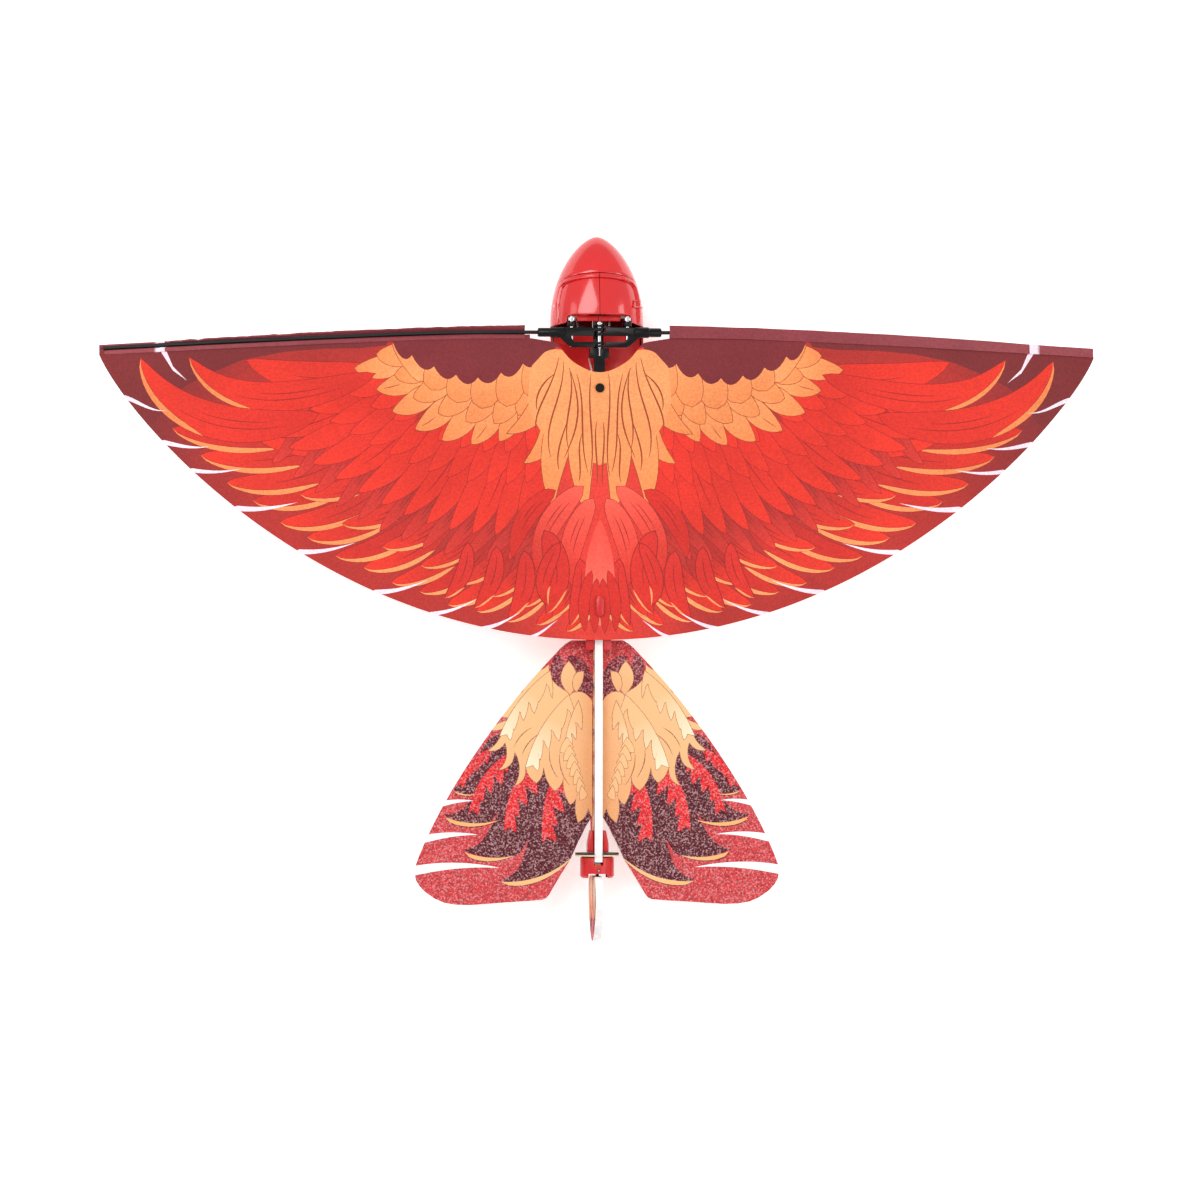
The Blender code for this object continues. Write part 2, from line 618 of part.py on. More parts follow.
def make_belly_parts():
    finish(box((-9, 9), (-36, -10), (-23.6, -22.6)), "receiver_board", BOARD_GREEN)

    switch = box((1.6, 6.6), (-7.6, 3.6), (-35.9, -31.0))
    cut(switch, box((2.6, 5.4), (-5.7, 1.5), (-37, -33.2)))
    finish(switch, "switch_body", BLACK)
    finish(box((2.95, 5.05), (-5.3, -2.1), (-37.2, -33.6)), "switch_knob", BLACK)

    socket = box((-7.2, -2.8), (-5.6, -0.4), (-36.0, -31.0))
    cut(socket, box((-6.4, -3.6), (-4.8, -1.2), (-38, -33.5)))
    finish(socket, "charge_socket", CONNECTOR)


# ------------------------------------------------------------------ wing
SPAR_STATIONS = (22.0, 45, 75, 105, 135, 165, 195, 225, 247.5)
# stepped root edge of a cloth half, from the middle strip out to the leading edge: (x, y)
CLOTH_ROOT = [(MID_HALF_W + GAP, -17.6), (12.25, -12.0), (20.75, -5.5), (LE_ROOT_X, -2.2)]
LE_STATIONS = (LE_ROOT_X, 60, 90, 120, 150, 180, 210, 235, HALF_SPAN)
TE_STATIONS = (247, 242, 235, 225, 210, 190, 165, 135, 105, 75, 45, 20, MID_HALF_W + GAP)


def leading_y(x):
    return LE_ROOT_Y - LE_SWEEP * (x / HALF_SPAN) ** 1.8


def trailing_y(x):
    u = x / HALF_SPAN
    return TE_TIP_Y - CHORD * (1 - u * u) ** 0.82


def spar_y(x):
    if x < SPAR_BEND_X:
        return SOCKET_Y
    return SOCKET_Y - SPAR_SWEEP * ((x - SPAR_BEND_X) / (HALF_SPAN - SPAR_BEND_X)) ** 1.25


def make_spar(side, tag):
    points = [(side * x, spar_y(x), 0) for x in SPAR_STATIONS]
    finish(tube_path(points, SPAR_R, 8), "spar_" + tag, CARBON)


def make_cloth_half(side, tag):
    points = CLOTH_ROOT + [(x, leading_y(x)) for x in LE_STATIONS]
    points += [(x, trailing_y(x)) for x in TE_STATIONS]
    cloth = extrude([(side * x, y) for x, y in points], "z", *CLOTH_Z)
    finish(cloth, "wing_cloth_" + tag, CLOTH)


def make_cloth_mid():
    """Middle strip, with a hole for the peg and a slot for the bracket's hook."""
    rear_y = trailing_y(4)
    cloth = extrude([(-MID_HALF_W, -17.8), (0, -19.2), (MID_HALF_W, -17.8),
                     (MID_HALF_W, rear_y), (-MID_HALF_W, rear_y)], "z", *CLOTH_Z)
    slot_half_w = HOOK_HALF_W + HOOK_GAP
    cut(cloth,
        rod((0, PEG_Y, 0), (0, PEG_Y, 4), 1.1, 12),
        box((-slot_half_w, slot_half_w), (HOOK_Y0 - HOOK_GAP, HOOK_Y1 + HOOK_GAP), (0, 4)))
    finish(cloth, "wing_cloth_mid", CLOTH)


def make_cloth_peg():
    peg = turned((0, PEG_Y, 3.1), (0, 0, -1),
                 [(0, 1.6), (0.4, 2.3), (1.1, 2.3), (1.1, 0.75), (2.9, 0.75)], 14)
    finish(peg, "cloth_peg", BLACK)


# ------------------------------------------------------------------ boom and tail
HOOK_OUTLINE = [(-HOOK_HALF_W, HOOK_Y1), (HOOK_HALF_W, HOOK_Y1), (1.9, -133.0),   # (x, y)
                (1.9, -139.8), (1.0, -141.0), (-1.0, -141.0), (-1.9, -139.8), (-1.9, -133.0)]
KEEL_OUTLINE = [(Y_KEEL_F, -3.4), (-165, -3.4), (-250, -4.2), (Y_KEEL_R, -5.0),   # (y, z)
                (Y_KEEL_R, -11.6), (-256.5, -11.6), (-256.5, -24.0), (-245, -27.5),
                (-225, -30.0), (-200, -29.0), (-175, -24.0), (-158, -17.0), (Y_KEEL_F, -10.0)]
TAIL_OUTLINE = [(KEEL_SLOT[1], -153.2), (13.0, -153.2), (18.5, -157.2), (34, -174),   # (x, y)
                (48.5, -192), (61.5, -210), (73.0, -228), (82.8, -246), (90.0, -262.0),
                (91.8, -267.5), (91.3, -272.5), (88.5, -277.5), (82, -283.0), (74, -285.3),
                (64, -285.8), (47, -284.6), (26.5, -283.3), (23.5, -281.2), (13.5, -263),
                (10.0, -255.0), (6.0, -247), (KEEL_SLOT[1], -241)]


def make_tail_bracket():
    """Clamp on the boom, hook through the cloth, saddle on the keel."""
    bracket = box((-3.0, 3.0), (-157.5, -130.2), (-6.2, 0.9))
    union(bracket,
          box((-6.4, 6.4), (-158.0, -150.5), (-10.9, -3.6)),
          box((-HOOK_HALF_W, HOOK_HALF_W), (HOOK_Y0, HOOK_Y1), (0.5, 3.6)),
          extrude(HOOK_OUTLINE, "z", 2.3, 3.6))
    cut(bracket,
        rod_y(0, BOOM_Z, -120, -136.0, BOOM_R + 0.35, 12),
        box(KEEL_SLOT, (-160, -141.5), (-20, -3.0)))
    cut(bracket, box((-9, 9), (-160, -143.0), (-3.3, 5)))      # lowers the rear
    finish(bracket, "tail_bracket", RED)


def make_tail_half(side, tag):
    half = extrude([(side * x, y) for x, y in TAIL_OUTLINE],
                   "z", TAIL_Z - TAIL_T / 2, TAIL_Z + TAIL_T / 2)
    finish(half, "tail_foam_" + tag, FOAM)


# route along the boom to the front of the keel: (x, y, z)
CABLE_PATH = [(-3.6, -11.0, -20.0), (-3.6, -14.5, -12.0), (-3.5, -18, -4.6),
              (-3.4, -26, -3.6), (-3.0, -36, -3.4), (-2.6, -80, -3.4),
              (-3.9, -126, -3.4), (-4.1, -140, -3.6), (-4.1, -147, -4.6)]


# ------------------------------------------------------------------ actuator and rudder
def make_actuator():
    """Clamp on the keel, round board, cup open to the rear, coil."""
    mount = box((-5.2, 5.2), (-259.4, -248.5), (-15.0, -6.2))
    corners = [extrude([(side * 5.5, -247), (side * 5.5, -256.5), (side * 3.6, -247)],
                       "z", -30, 0) for side in (1, -1)]
    cut(mount,
        box(KEEL_SLOT, (-256.9, -247), (-20, 0)),
        box(KEEL_SLOT, (-262, -256), (-11.9, 0)),
        *corners)
    finish(mount, "actuator_mount", RED)

    board = rod_y(0, TAIL_Z, -259.8, -261.4, BOARD_R, 28)
    cut(board, box(KEEL_SLOT, (-263, -258), (KEEL_SLOT_Z, 2)))
    finish(board, "actuator_board", BOARD_BLACK)

    cup = turned((0, CUP_Y, TAIL_Z), (0, -1, 0),
                 [(0, CUP_R - 0.8), (0.5, CUP_R), (9.6, CUP_R), (10.6, CUP_R - 0.8),
                  (10.6, CUP_R - 2.0), (1.2, CUP_R - 1.4)], 28)
    cut(cup,
        box((-4.9, 4.9), (-280, -270.2), (-30, 10)),           # notch across the open end
        box(KEEL_SLOT, (-266.0, -258), (KEEL_SLOT_Z, 2)),
        rod((0, RUDDER_Y, -30), (0, RUDDER_Y, 5), 0.8, 10),    # rudder pin holes
        box((-2.0, 2.0), (-264, -260), (TAIL_Z - 2, TAIL_Z + 1.2)))
    finish(cup, "actuator_cup", RED)

    coil = turned((0, -265.3, TAIL_Z), (0, -1, 0),
                  [(0, 4.3), (0, 6.2), (1.6, 6.2), (1.6, 4.3)], 24, closed=True)
    finish(coil, "actuator_coil", COPPER)


RUDDER_OUTLINE = [(-271.6, -4.0), (-274, -1.5), (-280, 1.2), (-287, 1.0), (-294, -2.5),   # (y, z)
                  (-300, -8.0), (-303.8, -14.0), (-304.5, -18.5), (-303.2, -23.5),
                  (-298, -30.0), (-291, -34.8), (-283, -37.0), (-276, -36.6),
                  (-272.6, -34.0), (-271.6, -30.0)]


def upright_rod(half_height, radius, segments):
    """Rod on the rudder's turning axis."""
    return rod((0, RUDDER_Y, TAIL_Z - half_height), (0, RUDDER_Y, TAIL_Z + half_height),
               radius, segments)


def make_rudder():
    finish(upright_rod(CUP_R + 0.6, 0.5, 10), "rudder_pin", STEEL)

    carrier = upright_rod(4.5, 1.4, 14)
    union(carrier, box((-0.6, 0.6), (-276.0, RUDDER_Y - 0.5), (TAIL_Z - 3.5, TAIL_Z + 3.5)))
    cut(carrier, upright_rod(9, 0.62, 12))
    finish(carrier, "rudder_carrier", BLACK, origin=RUDDER_ORIGIN)

    magnet = box((-1.5, 1.5), (RUDDER_Y + 1.7, RUDDER_Y + 3.5), (TAIL_Z - 1.5, TAIL_Z + 1.5))
    finish(magnet, "rudder_magnet", MAGNET, origin=RUDDER_ORIGIN)

    fin = extrude(RUDDER_OUTLINE, "x", -KEEL_T / 2, KEEL_T / 2)
    cut(fin, box((-0.9, 0.9), (-277.0, -260), (TAIL_Z - 3.9, TAIL_Z + 3.9)))
    finish(fin, "rudder_foam", FOAM, origin=RUDDER_ORIGIN)


# ------------------------------------------------------------------ build
make_shells()
make_nose()
make_gearbox_frame()
make_hinge_axle()
for side, tag in SIDES:
    make_lever(side, tag)
    make_lever_pin(side, tag)
    make_spar(side, tag)
    make_con_rod(side, tag)
    make_crank(side, tag)
    make_cloth_half(side, tag)
    make_tail_half(side, tag)
    for z, level in SCREW_HEIGHTS:
        make_shell_screw(side, tag, z, level)
make_idler_and_motor()
make_battery()
make_belly_parts()
finish(rod_y(0, BOOM_Z, -13.8, -135.5, BOOM_R, 12), "boom_rod", CARBON)
make_cloth_mid()
make_cloth_peg()
make_tail_bracket()
finish(extrude(KEEL_OUTLINE, "x", -KEEL_T / 2, KEEL_T / 2), "keel_foam", FOAM)
make_actuator()
make_rudder()
finish(tube_path(CABLE_PATH, 0.45, 6), "tail_cable", WIRE)

# centre the bird between beak and rudder, with the belly's underside at z = 0
rudder_end = min(y for y, z in RUDDER_OUTLINE)
shift = Vector((0, -(Y_NOSE + rudder_end) / 2, -BELLY_Z)) * MM
for obj in bpy.data.objects:
    obj.location += shift
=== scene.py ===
# A flapping-wing bird: printed cloth wings on two spars, a red moulded body holding the gears,
# and a printed foam tail with a keel and rudder.
# The nose points to +Y, the wings spread along X and the top faces +Z. The frame's origin is
# under the middle of the bird; shapes below are drawn in mm from the wing hinge.
import math
from collections import namedtuple
import bmesh
import bpy
import numpy as np
from mathutils import Matrix, Vector, noise
from mathutils.geometry import delaunay_2d_cdt


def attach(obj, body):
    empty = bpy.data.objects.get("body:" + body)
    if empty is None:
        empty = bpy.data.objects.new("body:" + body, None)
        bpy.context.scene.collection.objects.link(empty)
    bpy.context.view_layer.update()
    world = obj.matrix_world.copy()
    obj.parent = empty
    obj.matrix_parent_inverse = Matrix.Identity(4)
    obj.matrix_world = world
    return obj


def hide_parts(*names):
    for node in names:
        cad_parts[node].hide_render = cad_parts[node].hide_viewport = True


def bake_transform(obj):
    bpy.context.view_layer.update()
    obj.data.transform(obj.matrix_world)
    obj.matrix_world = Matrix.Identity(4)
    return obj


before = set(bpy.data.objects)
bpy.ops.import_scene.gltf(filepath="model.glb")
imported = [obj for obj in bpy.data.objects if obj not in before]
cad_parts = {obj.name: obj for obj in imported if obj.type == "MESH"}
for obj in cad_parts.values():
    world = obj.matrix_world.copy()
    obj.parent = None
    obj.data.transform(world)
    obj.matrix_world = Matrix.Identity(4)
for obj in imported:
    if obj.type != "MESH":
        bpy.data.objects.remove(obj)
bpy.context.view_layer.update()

MM = 0.001
HINGE = np.array([0.0, 127.5, 37.5])
SIDES = ((-1, "left"), (1, "right"))


# ------------------------------------------------------------------ colours and small sums
def srgb(*levels):
    """Linear colour from 8-bit sRGB levels."""
    shares = [level / 255.0 for level in levels]
    return np.array([c / 12.92 if c <= 0.04045 else ((c + 0.055) / 1.055) ** 2.4 for c in shares])


def smoothstep(start, end, x):
    t = np.clip((x - start) / (end - start), 0, 1)
    return t * t * (3 - 2 * t)


def flat(colour):
    return lambda points: np.broadcast_to(colour, (len(points), 3))


def gradient(colour0, colour1, point0, point1):
    """Fill that blends from point0 to point1, the same on both sides of x = 0."""
    start = np.array(point0, float)
    run = np.array(point1, float) - start

    def fill(points):
        folded = np.column_stack([np.abs(points[:, 0]), points[:, 1]])
        t = np.clip((folded - start) @ run / (run @ run), 0, 1)[:, None]
        return colour0 * (1 - t) + colour1 * t
    return fill


# wing print
RED_BRIGHT = srgb(229, 50, 32)
RED_MID = srgb(210, 42, 31)
RED_DEEP = srgb(176, 40, 34)
CORAL = srgb(250, 92, 74)
MAROON_ROOT = srgb(120, 36, 42)
MAROON_TIP = srgb(124, 38, 40)
PEACH = srgb(238, 138, 78)
PEACH_PALE = srgb(246, 158, 98)
BROWN = srgb(150, 66, 30)
RED_LINE = srgb(150, 28, 26)
WHITE = srgb(244, 228, 240)
# foam print
FOAM_RED = srgb(206, 62, 66)
FOAM_DARK = srgb(92, 26, 38)
FOAM_BRIGHT = srgb(228, 40, 44)
FOAM_PEACH = srgb(238, 186, 132)
FOAM_CREAM = srgb(244, 222, 190)
FOAM_LINE = srgb(150, 96, 60)


# ------------------------------------------------------------------ print shapes (mm)
def across(vector):
    """The vector turned a quarter turn anticlockwise."""
    return np.array([-vector[1], vector[0]])


def unit(degrees):
    return np.array([math.cos(math.radians(degrees)), math.sin(math.radians(degrees))])


def quadratic(p0, p1, p2, t):
    t = np.asarray(t)[:, None]
    return (1 - t) ** 2 * np.array(p0) + 2 * t * (1 - t) * np.array(p1) + t * t * np.array(p2)


def cubic(p0, p1, p2, p3, t):
    t = t[:, None]
    return (1 - t) ** 3 * p0 + 3 * t * (1 - t) ** 2 * p1 + 3 * t * t * (1 - t) * p2 + t ** 3 * p3


def line_normals(line):
    along = np.gradient(line, axis=0)
    along /= np.linalg.norm(along, axis=1)[:, None] + 1e-9
    return np.stack([-along[:, 1], along[:, 0]], 1)


def feather_outline(line, t, width, shape):
    """Normals, half widths and outline; shape holds the root and tip exponents of the width."""
    root_power, tip_power = shape
    normals = line_normals(line)
    widest = root_power / (root_power + tip_power)
    peak = widest ** root_power * (1 - widest) ** tip_power
    half = width * (t ** root_power) * ((1 - t) ** tip_power) / peak
    offset = normals[:-1] * half[:-1, None]
    outline = np.concatenate([line[:-1] + offset, line[-1:], (line[:-1] - offset)[::-1][:-1]])
    return normals, half, outline


def leaf(root, tip, width, bend=0.0, shape=(0.55, 0.75), count=13):
    """Feather outline whose centre line bows sideways by bend x length."""
    root, tip = np.array(root, float), np.array(tip, float)
    length = np.hypot(*(tip - root))
    mid = (root + tip) / 2 + across(tip - root) / length * bend * length
    t = np.linspace(0, 1, count)
    return feather_outline(quadratic(root, mid, tip, t), t, width, shape)[2]


def crescent(start, end, sag, width, skew=0.6):
    """Thin moon from start (broad end) to end (fine end)."""
    start, end = np.array(start, float), np.array(end, float)
    run = end - start
    t = np.linspace(0, 1, 12)
    line = quadratic(start, (start + end) / 2 + across(run) / np.hypot(*run) * sag, end, t)
    half = width * (t ** skew) * ((1 - t) ** 1.1) * 2.0
    bulged = line[:-1] + line_normals(line)[:-1] * half[:-1, None]
    return np.concatenate([bulged, line[-1:], line[1:-1][::-1]])


def stroke(line, width):
    """Tapered line along points, as a thin polygon."""
    half = width * np.sin(np.linspace(0.12, np.pi - 0.12, len(line))) ** 0.6
    offset = line_normals(line) * half[:, None]
    return np.concatenate([line + offset, (line - offset)[::-1]])


def inset(poly, depth):
    following, previous = np.roll(poly, -1, 0), np.roll(poly, 1, 0)
    area = 0.5 * np.sum(poly[:, 0] * following[:, 1] - following[:, 0] * poly[:, 1])
    turn = 1.0 if area > 0 else -1.0

    def inward(edge):
        edge /= np.linalg.norm(edge, axis=1)[:, None] + 1e-9
        return np.stack([-edge[:, 1], edge[:, 0]], 1) * turn
    normal = inward(poly - previous) + inward(following - poly)
    size = np.linalg.norm(normal, axis=1)[:, None]
    # sharp corners move further, up to a limit
    scale = np.clip(2.0 / np.maximum(size, 0.6), 1.0, 2.4)
    return poly + normal / np.maximum(size, 1e-6) * depth * scale


def arcs(corners):
    """Closed outline through (x, y, bow); bow is the sideways bulge of the edge that leaves."""
    out = []
    for i, (x0, y0, bow) in enumerate(corners):
        x1, y1, _ = corners[(i + 1) % len(corners)]
        run = np.array([x1 - x0, y1 - y0])
        mid = np.array([(x0 + x1) / 2, (y0 + y1) / 2]) + across(run) * bow * 2
        out.append(quadratic((x0, y0), mid, (x1, y1), np.linspace(0, 1, 7)[:-1]))
    return np.vstack(out)


def barbed(root, tip, bend, width, count, reach, lean=0.5, body=0.5):
    """Curled leaf: a smooth outer side, and barbs on the inner side bending to the tip."""
    root, tip = np.array(root, float), np.array(tip, float)
    run = tip - root
    normal = across(run) / np.hypot(*run)
    mid = (root + tip) / 2 + normal * bend * np.hypot(*run)

    def spot(t):
        return quadratic(root, mid, tip, [t])[0]

    def beside(t, offset):
        ahead = spot(min(1, t + 0.03)) - spot(max(0, t - 0.03))
        ahead /= np.hypot(*ahead)
        return spot(t) + across(ahead) * offset

    def shrink(t):
        return 1.05 - 0.62 * t

    outer = [beside(t, width * math.sin(math.pi * t) ** 0.8 * (1 - 0.35 * t))
             for t in np.linspace(0, 1, 15)]
    inner = []
    stations = [1 - (i + 0.55) / (count + 0.3) for i in range(count + 1)]
    for i in range(count):
        t, after = stations[i], stations[i + 1]
        size = reach * shrink(t) * (0.85 + 0.15 * math.cos(2.3 * i))
        root_depth = -body * size / shrink(t) * shrink(after) if i < count - 1 else -0.1 * size
        valley = beside(max(0.02, t + 0.03), -body * size)
        point = beside(min(0.985, t + lean * 0.34 / count * 2.2), -size)
        back = beside(max(0.02, after + 0.03), root_depth)
        rise = (valley + point) / 2 + run * 0.02
        fall = (point + back) / 2 - normal * 0.10 * size - run * 0.02
        inner += list(quadratic(valley, rise, point, np.linspace(0, 1, 5)))
        inner += list(quadratic(point, fall, back, np.linspace(0, 1, 6)[1:]))
    return np.array(outer + inner)


# A print is a list of (outline, fill) layers, later ones on top.
def outlined(layers, poly, fill, line=RED_LINE, line_width=0.26):
    layers.append((poly, flat(line)))
    layers.append((inset(poly, line_width), fill if callable(fill) else flat(fill)))


def mirror(layers):
    return [(poly * np.array([-1, 1]), fill) for poly, fill in layers]


def for_side(points, side):
    """A right-hand outline, mirrored and reversed for the left."""
    outline = np.array(points, float)
    outline[:, 0] *= side
    return outline[::side]


Blade = namedtuple("Blade", "steps line normals half root tip outline")


def blade(root, tip, leave, arrive, width, shape, count):
    """Feather swept from root to tip, leaving and arriving at the given angles in degrees."""
    root, tip = np.array(root, float), np.array(tip, float)
    length = np.hypot(*(tip - root))
    steer_root = root + unit(leave) * length * 0.40
    steer_tip = tip - unit(arrive) * length * 0.36
    steps = np.linspace(0, 1, count)
    line = cubic(root, steer_root, steer_tip, tip, steps)
    normals, half, outline = feather_outline(line, steps, width, shape)
    return Blade(steps, line, normals, half, root, tip, outline)


def hung_blade(tip, length, leave, arrive, width, shape, count, mix=(0.6, 0.4)):
    """Blade placed by its tip; mix weighs the two angles in its overall direction."""
    root = np.array(tip) - unit(leave * mix[0] + arrive * mix[1]) * length
    return blade(root, tip, leave, arrive, width, shape, count)


def add_blade(layers, feather, root_colour, tip_colour, line=RED_LINE, line_width=0.26,
              streaks=0, streak_colour=RED_LINE):
    fill = gradient(root_colour, tip_colour, feather.root, feather.tip)
    outlined(layers, feather.outline, fill, line, line_width)
    count = len(feather.steps)
    for j in range(streaks):
        offset = (j + 1) / (streaks + 1) * 2 - 1
        part = slice(int(count * (0.18 + 0.07 * (j % 2))),
                     int(count * (0.60 + 0.10 * ((j + 1) % 2))))
        shift = feather.normals[part] * (feather.half[part] * offset * 0.62)[:, None]
        layers.append((stroke(feather.line[part] + shift, 0.22), flat(streak_colour)))


def add_light_edge(layers, feather, start, depth, lined=True):
    """Light edge along the lower side of the blade, from step start to its tip."""
    part = feather.steps >= start
    part[np.argmax(part) - 1] = True
    steps, normals, half = feather.steps[part], feather.normals[part], feather.half[part]
    u = np.clip((steps - steps[0]) / (1 - steps[0]), 0, 1)
    lower = feather.line[part] - normals * half[:, None]
    thick = np.minimum(depth * np.sin(np.pi * u ** 0.8) ** 0.75, 1.55 * half + 0.02)
    inner = lower + normals * thick[:, None]
    if lined:
        border = (inner + normals * 0.22)[1:-1][::-1]
        layers.append((np.concatenate([lower - normals * 0.15, border]), flat(RED_LINE)))
    layers.append((np.concatenate([lower, inner[1:-1][::-1]]),
                   gradient(PEACH, PEACH_PALE, (225, -50), (40, -130))))


# ------------------------------------------------------------------ mesh helpers
def add_object(name, data):
    obj = bpy.data.objects.new(name, data)
    bpy.context.scene.collection.objects.link(obj)
    return obj


def shade(mesh, sharp_degrees):
    mesh.shade_smooth()
    mesh.set_sharp_from_angle(angle=math.radians(sharp_degrees))


def set_print(mesh, colours):
    """Store one colour per face corner."""
    attribute = mesh.color_attributes.new("Print", "FLOAT_COLOR", "CORNER")
    rgba = np.column_stack([colours, np.ones(len(colours))]).astype(np.float32)
    attribute.data.foreach_set("color", rgba.ravel())


def settle(obj, body, replaced=(), slot=None):
    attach(obj, body)
    if replaced:
        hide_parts(*replaced)


def bevel(obj, width_mm, angle, name):
    modifier = obj.modifiers.new(name, "BEVEL")
    modifier.width = width_mm * MM
    modifier.segments = 2
    modifier.limit_method = "ANGLE"
    modifier.angle_limit = math.radians(angle)


def bake_modifiers(obj):
    bpy.context.view_layer.update()
    graph = bpy.context.evaluated_depsgraph_get()
    mesh = bpy.data.meshes.new_from_object(obj.evaluated_get(graph))
    obj.modifiers.clear()
    obj.data = mesh


# ------------------------------------------------------------------ printed sheets
def inside(poly, points):
    """Even-odd test of points against a polygon."""
    x, y = points[:, 0], points[:, 1]
    result = np.zeros(len(points), bool)
    for (ax, ay), (bx, by) in zip(poly, np.roll(poly, -1, 0)):
        if ay != by:
            spans = (ay > y) != (by > y)
            result ^= spans & (x < (bx - ax) * (y - ay) / (by - ay) + ax)
    return result


def triangulate(outline, layers, step):
    """Points, triangles and their centres, with edges along the outline and every layer."""
    points, edges = [], []

    def add(poly):
        first, count = len(points), len(poly)
        points.extend([Vector((x, y)) for x, y in poly])
        edges.extend([(first + i, first + (i + 1) % count) for i in range(count)])
    add(outline)
    low, high = outline.min(0), outline.max(0)
    for poly, _ in layers:
        if not ((poly.max(0) < low).any() or (poly.min(0) > high).any()):
            add(poly)
    # staggered filling points
    grid = np.array([(x + (step / 2 if j % 2 else 0), y)
                     for j, y in enumerate(np.arange(low[1] + step / 2, high[1], step))
                     for x in np.arange(low[0] + step / 2, high[0], step)])
    grid = grid[inside(inset(outline, step * 0.3), grid)]
    points.extend([Vector((x, y)) for x, y in grid])
    cut_points, _, cut_faces, *_ = delaunay_2d_cdt(points, edges, [], 0, 1e-4, False)
    flat_points = np.array([tuple(point) for point in cut_points])
    faces = np.array([face for face in cut_faces if len(face) == 3])
    centres = flat_points[faces].mean(1)
    a = flat_points[faces[:, 1]] - flat_points[faces[:, 0]]
    b = flat_points[faces[:, 2]] - flat_points[faces[:, 0]]
    area = a[:, 0] * b[:, 1] - a[:, 1] * b[:, 0]
    faces[area < 0] = faces[area < 0][:, ::-1]
    keep = inside(outline, centres) & (np.abs(area) > 1e-7)
    return flat_points, faces[keep], centres[keep]


def layer_colours(corners, centres, base, layers):
    """Colour of each triangle corner: the topmost layer holding the triangle's centre."""
    colours = base(corners.reshape(-1, 2)).reshape(-1, 3, 3).copy()
    for poly, fill in layers:
        boxed = ((centres > poly.min(0)) & (centres < poly.max(0))).all(1)
        index = np.nonzero(boxed)[0]
        index = index[inside(poly, centres[index])]
        if len(index):
            colours[index] = fill(corners[index].reshape(-1, 2)).reshape(-1, 3, 3)
    return colours


def boundary_edges(faces, count):
    """Directed edges that belong to only one triangle."""
    directed = np.concatenate([faces[:, [0, 1]], faces[:, [1, 2]], faces[:, [2, 0]]])
    ends = np.sort(directed, axis=1)
    key = ends[:, 0].astype(np.int64) * count + ends[:, 1]
    _, first, uses = np.unique(key, return_index=True, return_counts=True)
    return directed[first[uses == 1]]


def print_sheet(name, outline, base, layers, height, thick, step, rim=None, under=1.0,
                origin=HINGE):
    """Thin solid with the print on top and bottom as corner colours.
    height(x, y) gives the top surface; under darkens the lower print."""
    points, faces, centres = triangulate(outline, layers, step)
    colours = layer_colours(points[faces], centres, base, layers)
    used = np.unique(faces)
    remap = -np.ones(len(points), int)
    remap[used] = np.arange(len(used))
    points, faces = points[used], remap[faces]
    count = len(points)
    z = height(points[:, 0], points[:, 1])
    verts = np.concatenate([np.column_stack([points, z]), np.column_stack([points, z - thick])])
    border = boundary_edges(faces, count).tolist()
    walls = [(b, a, a + count, b + count) for a, b in border]
    all_faces = faces.tolist() + (count + faces[:, ::-1]).tolist() + walls
    mesh = bpy.data.meshes.new(name)
    mesh.from_pydata(((verts + origin) * MM).tolist(), [], all_faces)
    top = colours.reshape(-1, 3)
    bottom = colours[:, ::-1].reshape(-1, 3) * under
    wall = np.broadcast_to(top.mean(0) if rim is None else rim, (4 * len(border), 3))
    set_print(mesh, np.concatenate([top, bottom, wall]))
    shade(mesh, 40)
    return add_object(name, mesh)


# ------------------------------------------------------------------ wing outline
HALF_SPAN = 250.0
SPAR_BEND_X = 60          # the spar runs straight inside this, then sweeps back
SPAR_Y = 0.75
HEM_ROOT_X = 35.0         # the hem starts here, outside the neckline
NECK_X = [0, 2.5, 5, 8, 10, 12.25, 14.75, 16.5, 18.5, 20, 21.2, 22.5, 25, 30, 35]
NECK_Y = [-19.2, -19.0, -18.4, -17.2, -16.1, -14.8, -12.9, -11.1, -8.6, -6.4, -5.0, -4.3, -3.8,
          -3.0, -2.2]


def front_edge_y(x):
    return 4.7 - 11.7 * (np.abs(x) / HALF_SPAN) ** 1.8


def rear_edge_y(x):
    u = np.minimum(1.0, np.abs(x) / HALF_SPAN)
    return -10 - 143.0 * (1 - u * u) ** 0.82


def spar_y(x):
    x = np.abs(x)
    beyond = np.maximum(x - SPAR_BEND_X, 0) / (HALF_SPAN - SPAR_BEND_X)
    return np.where(x < SPAR_BEND_X, SPAR_Y, SPAR_Y - 8.9 * beyond ** 1.25)


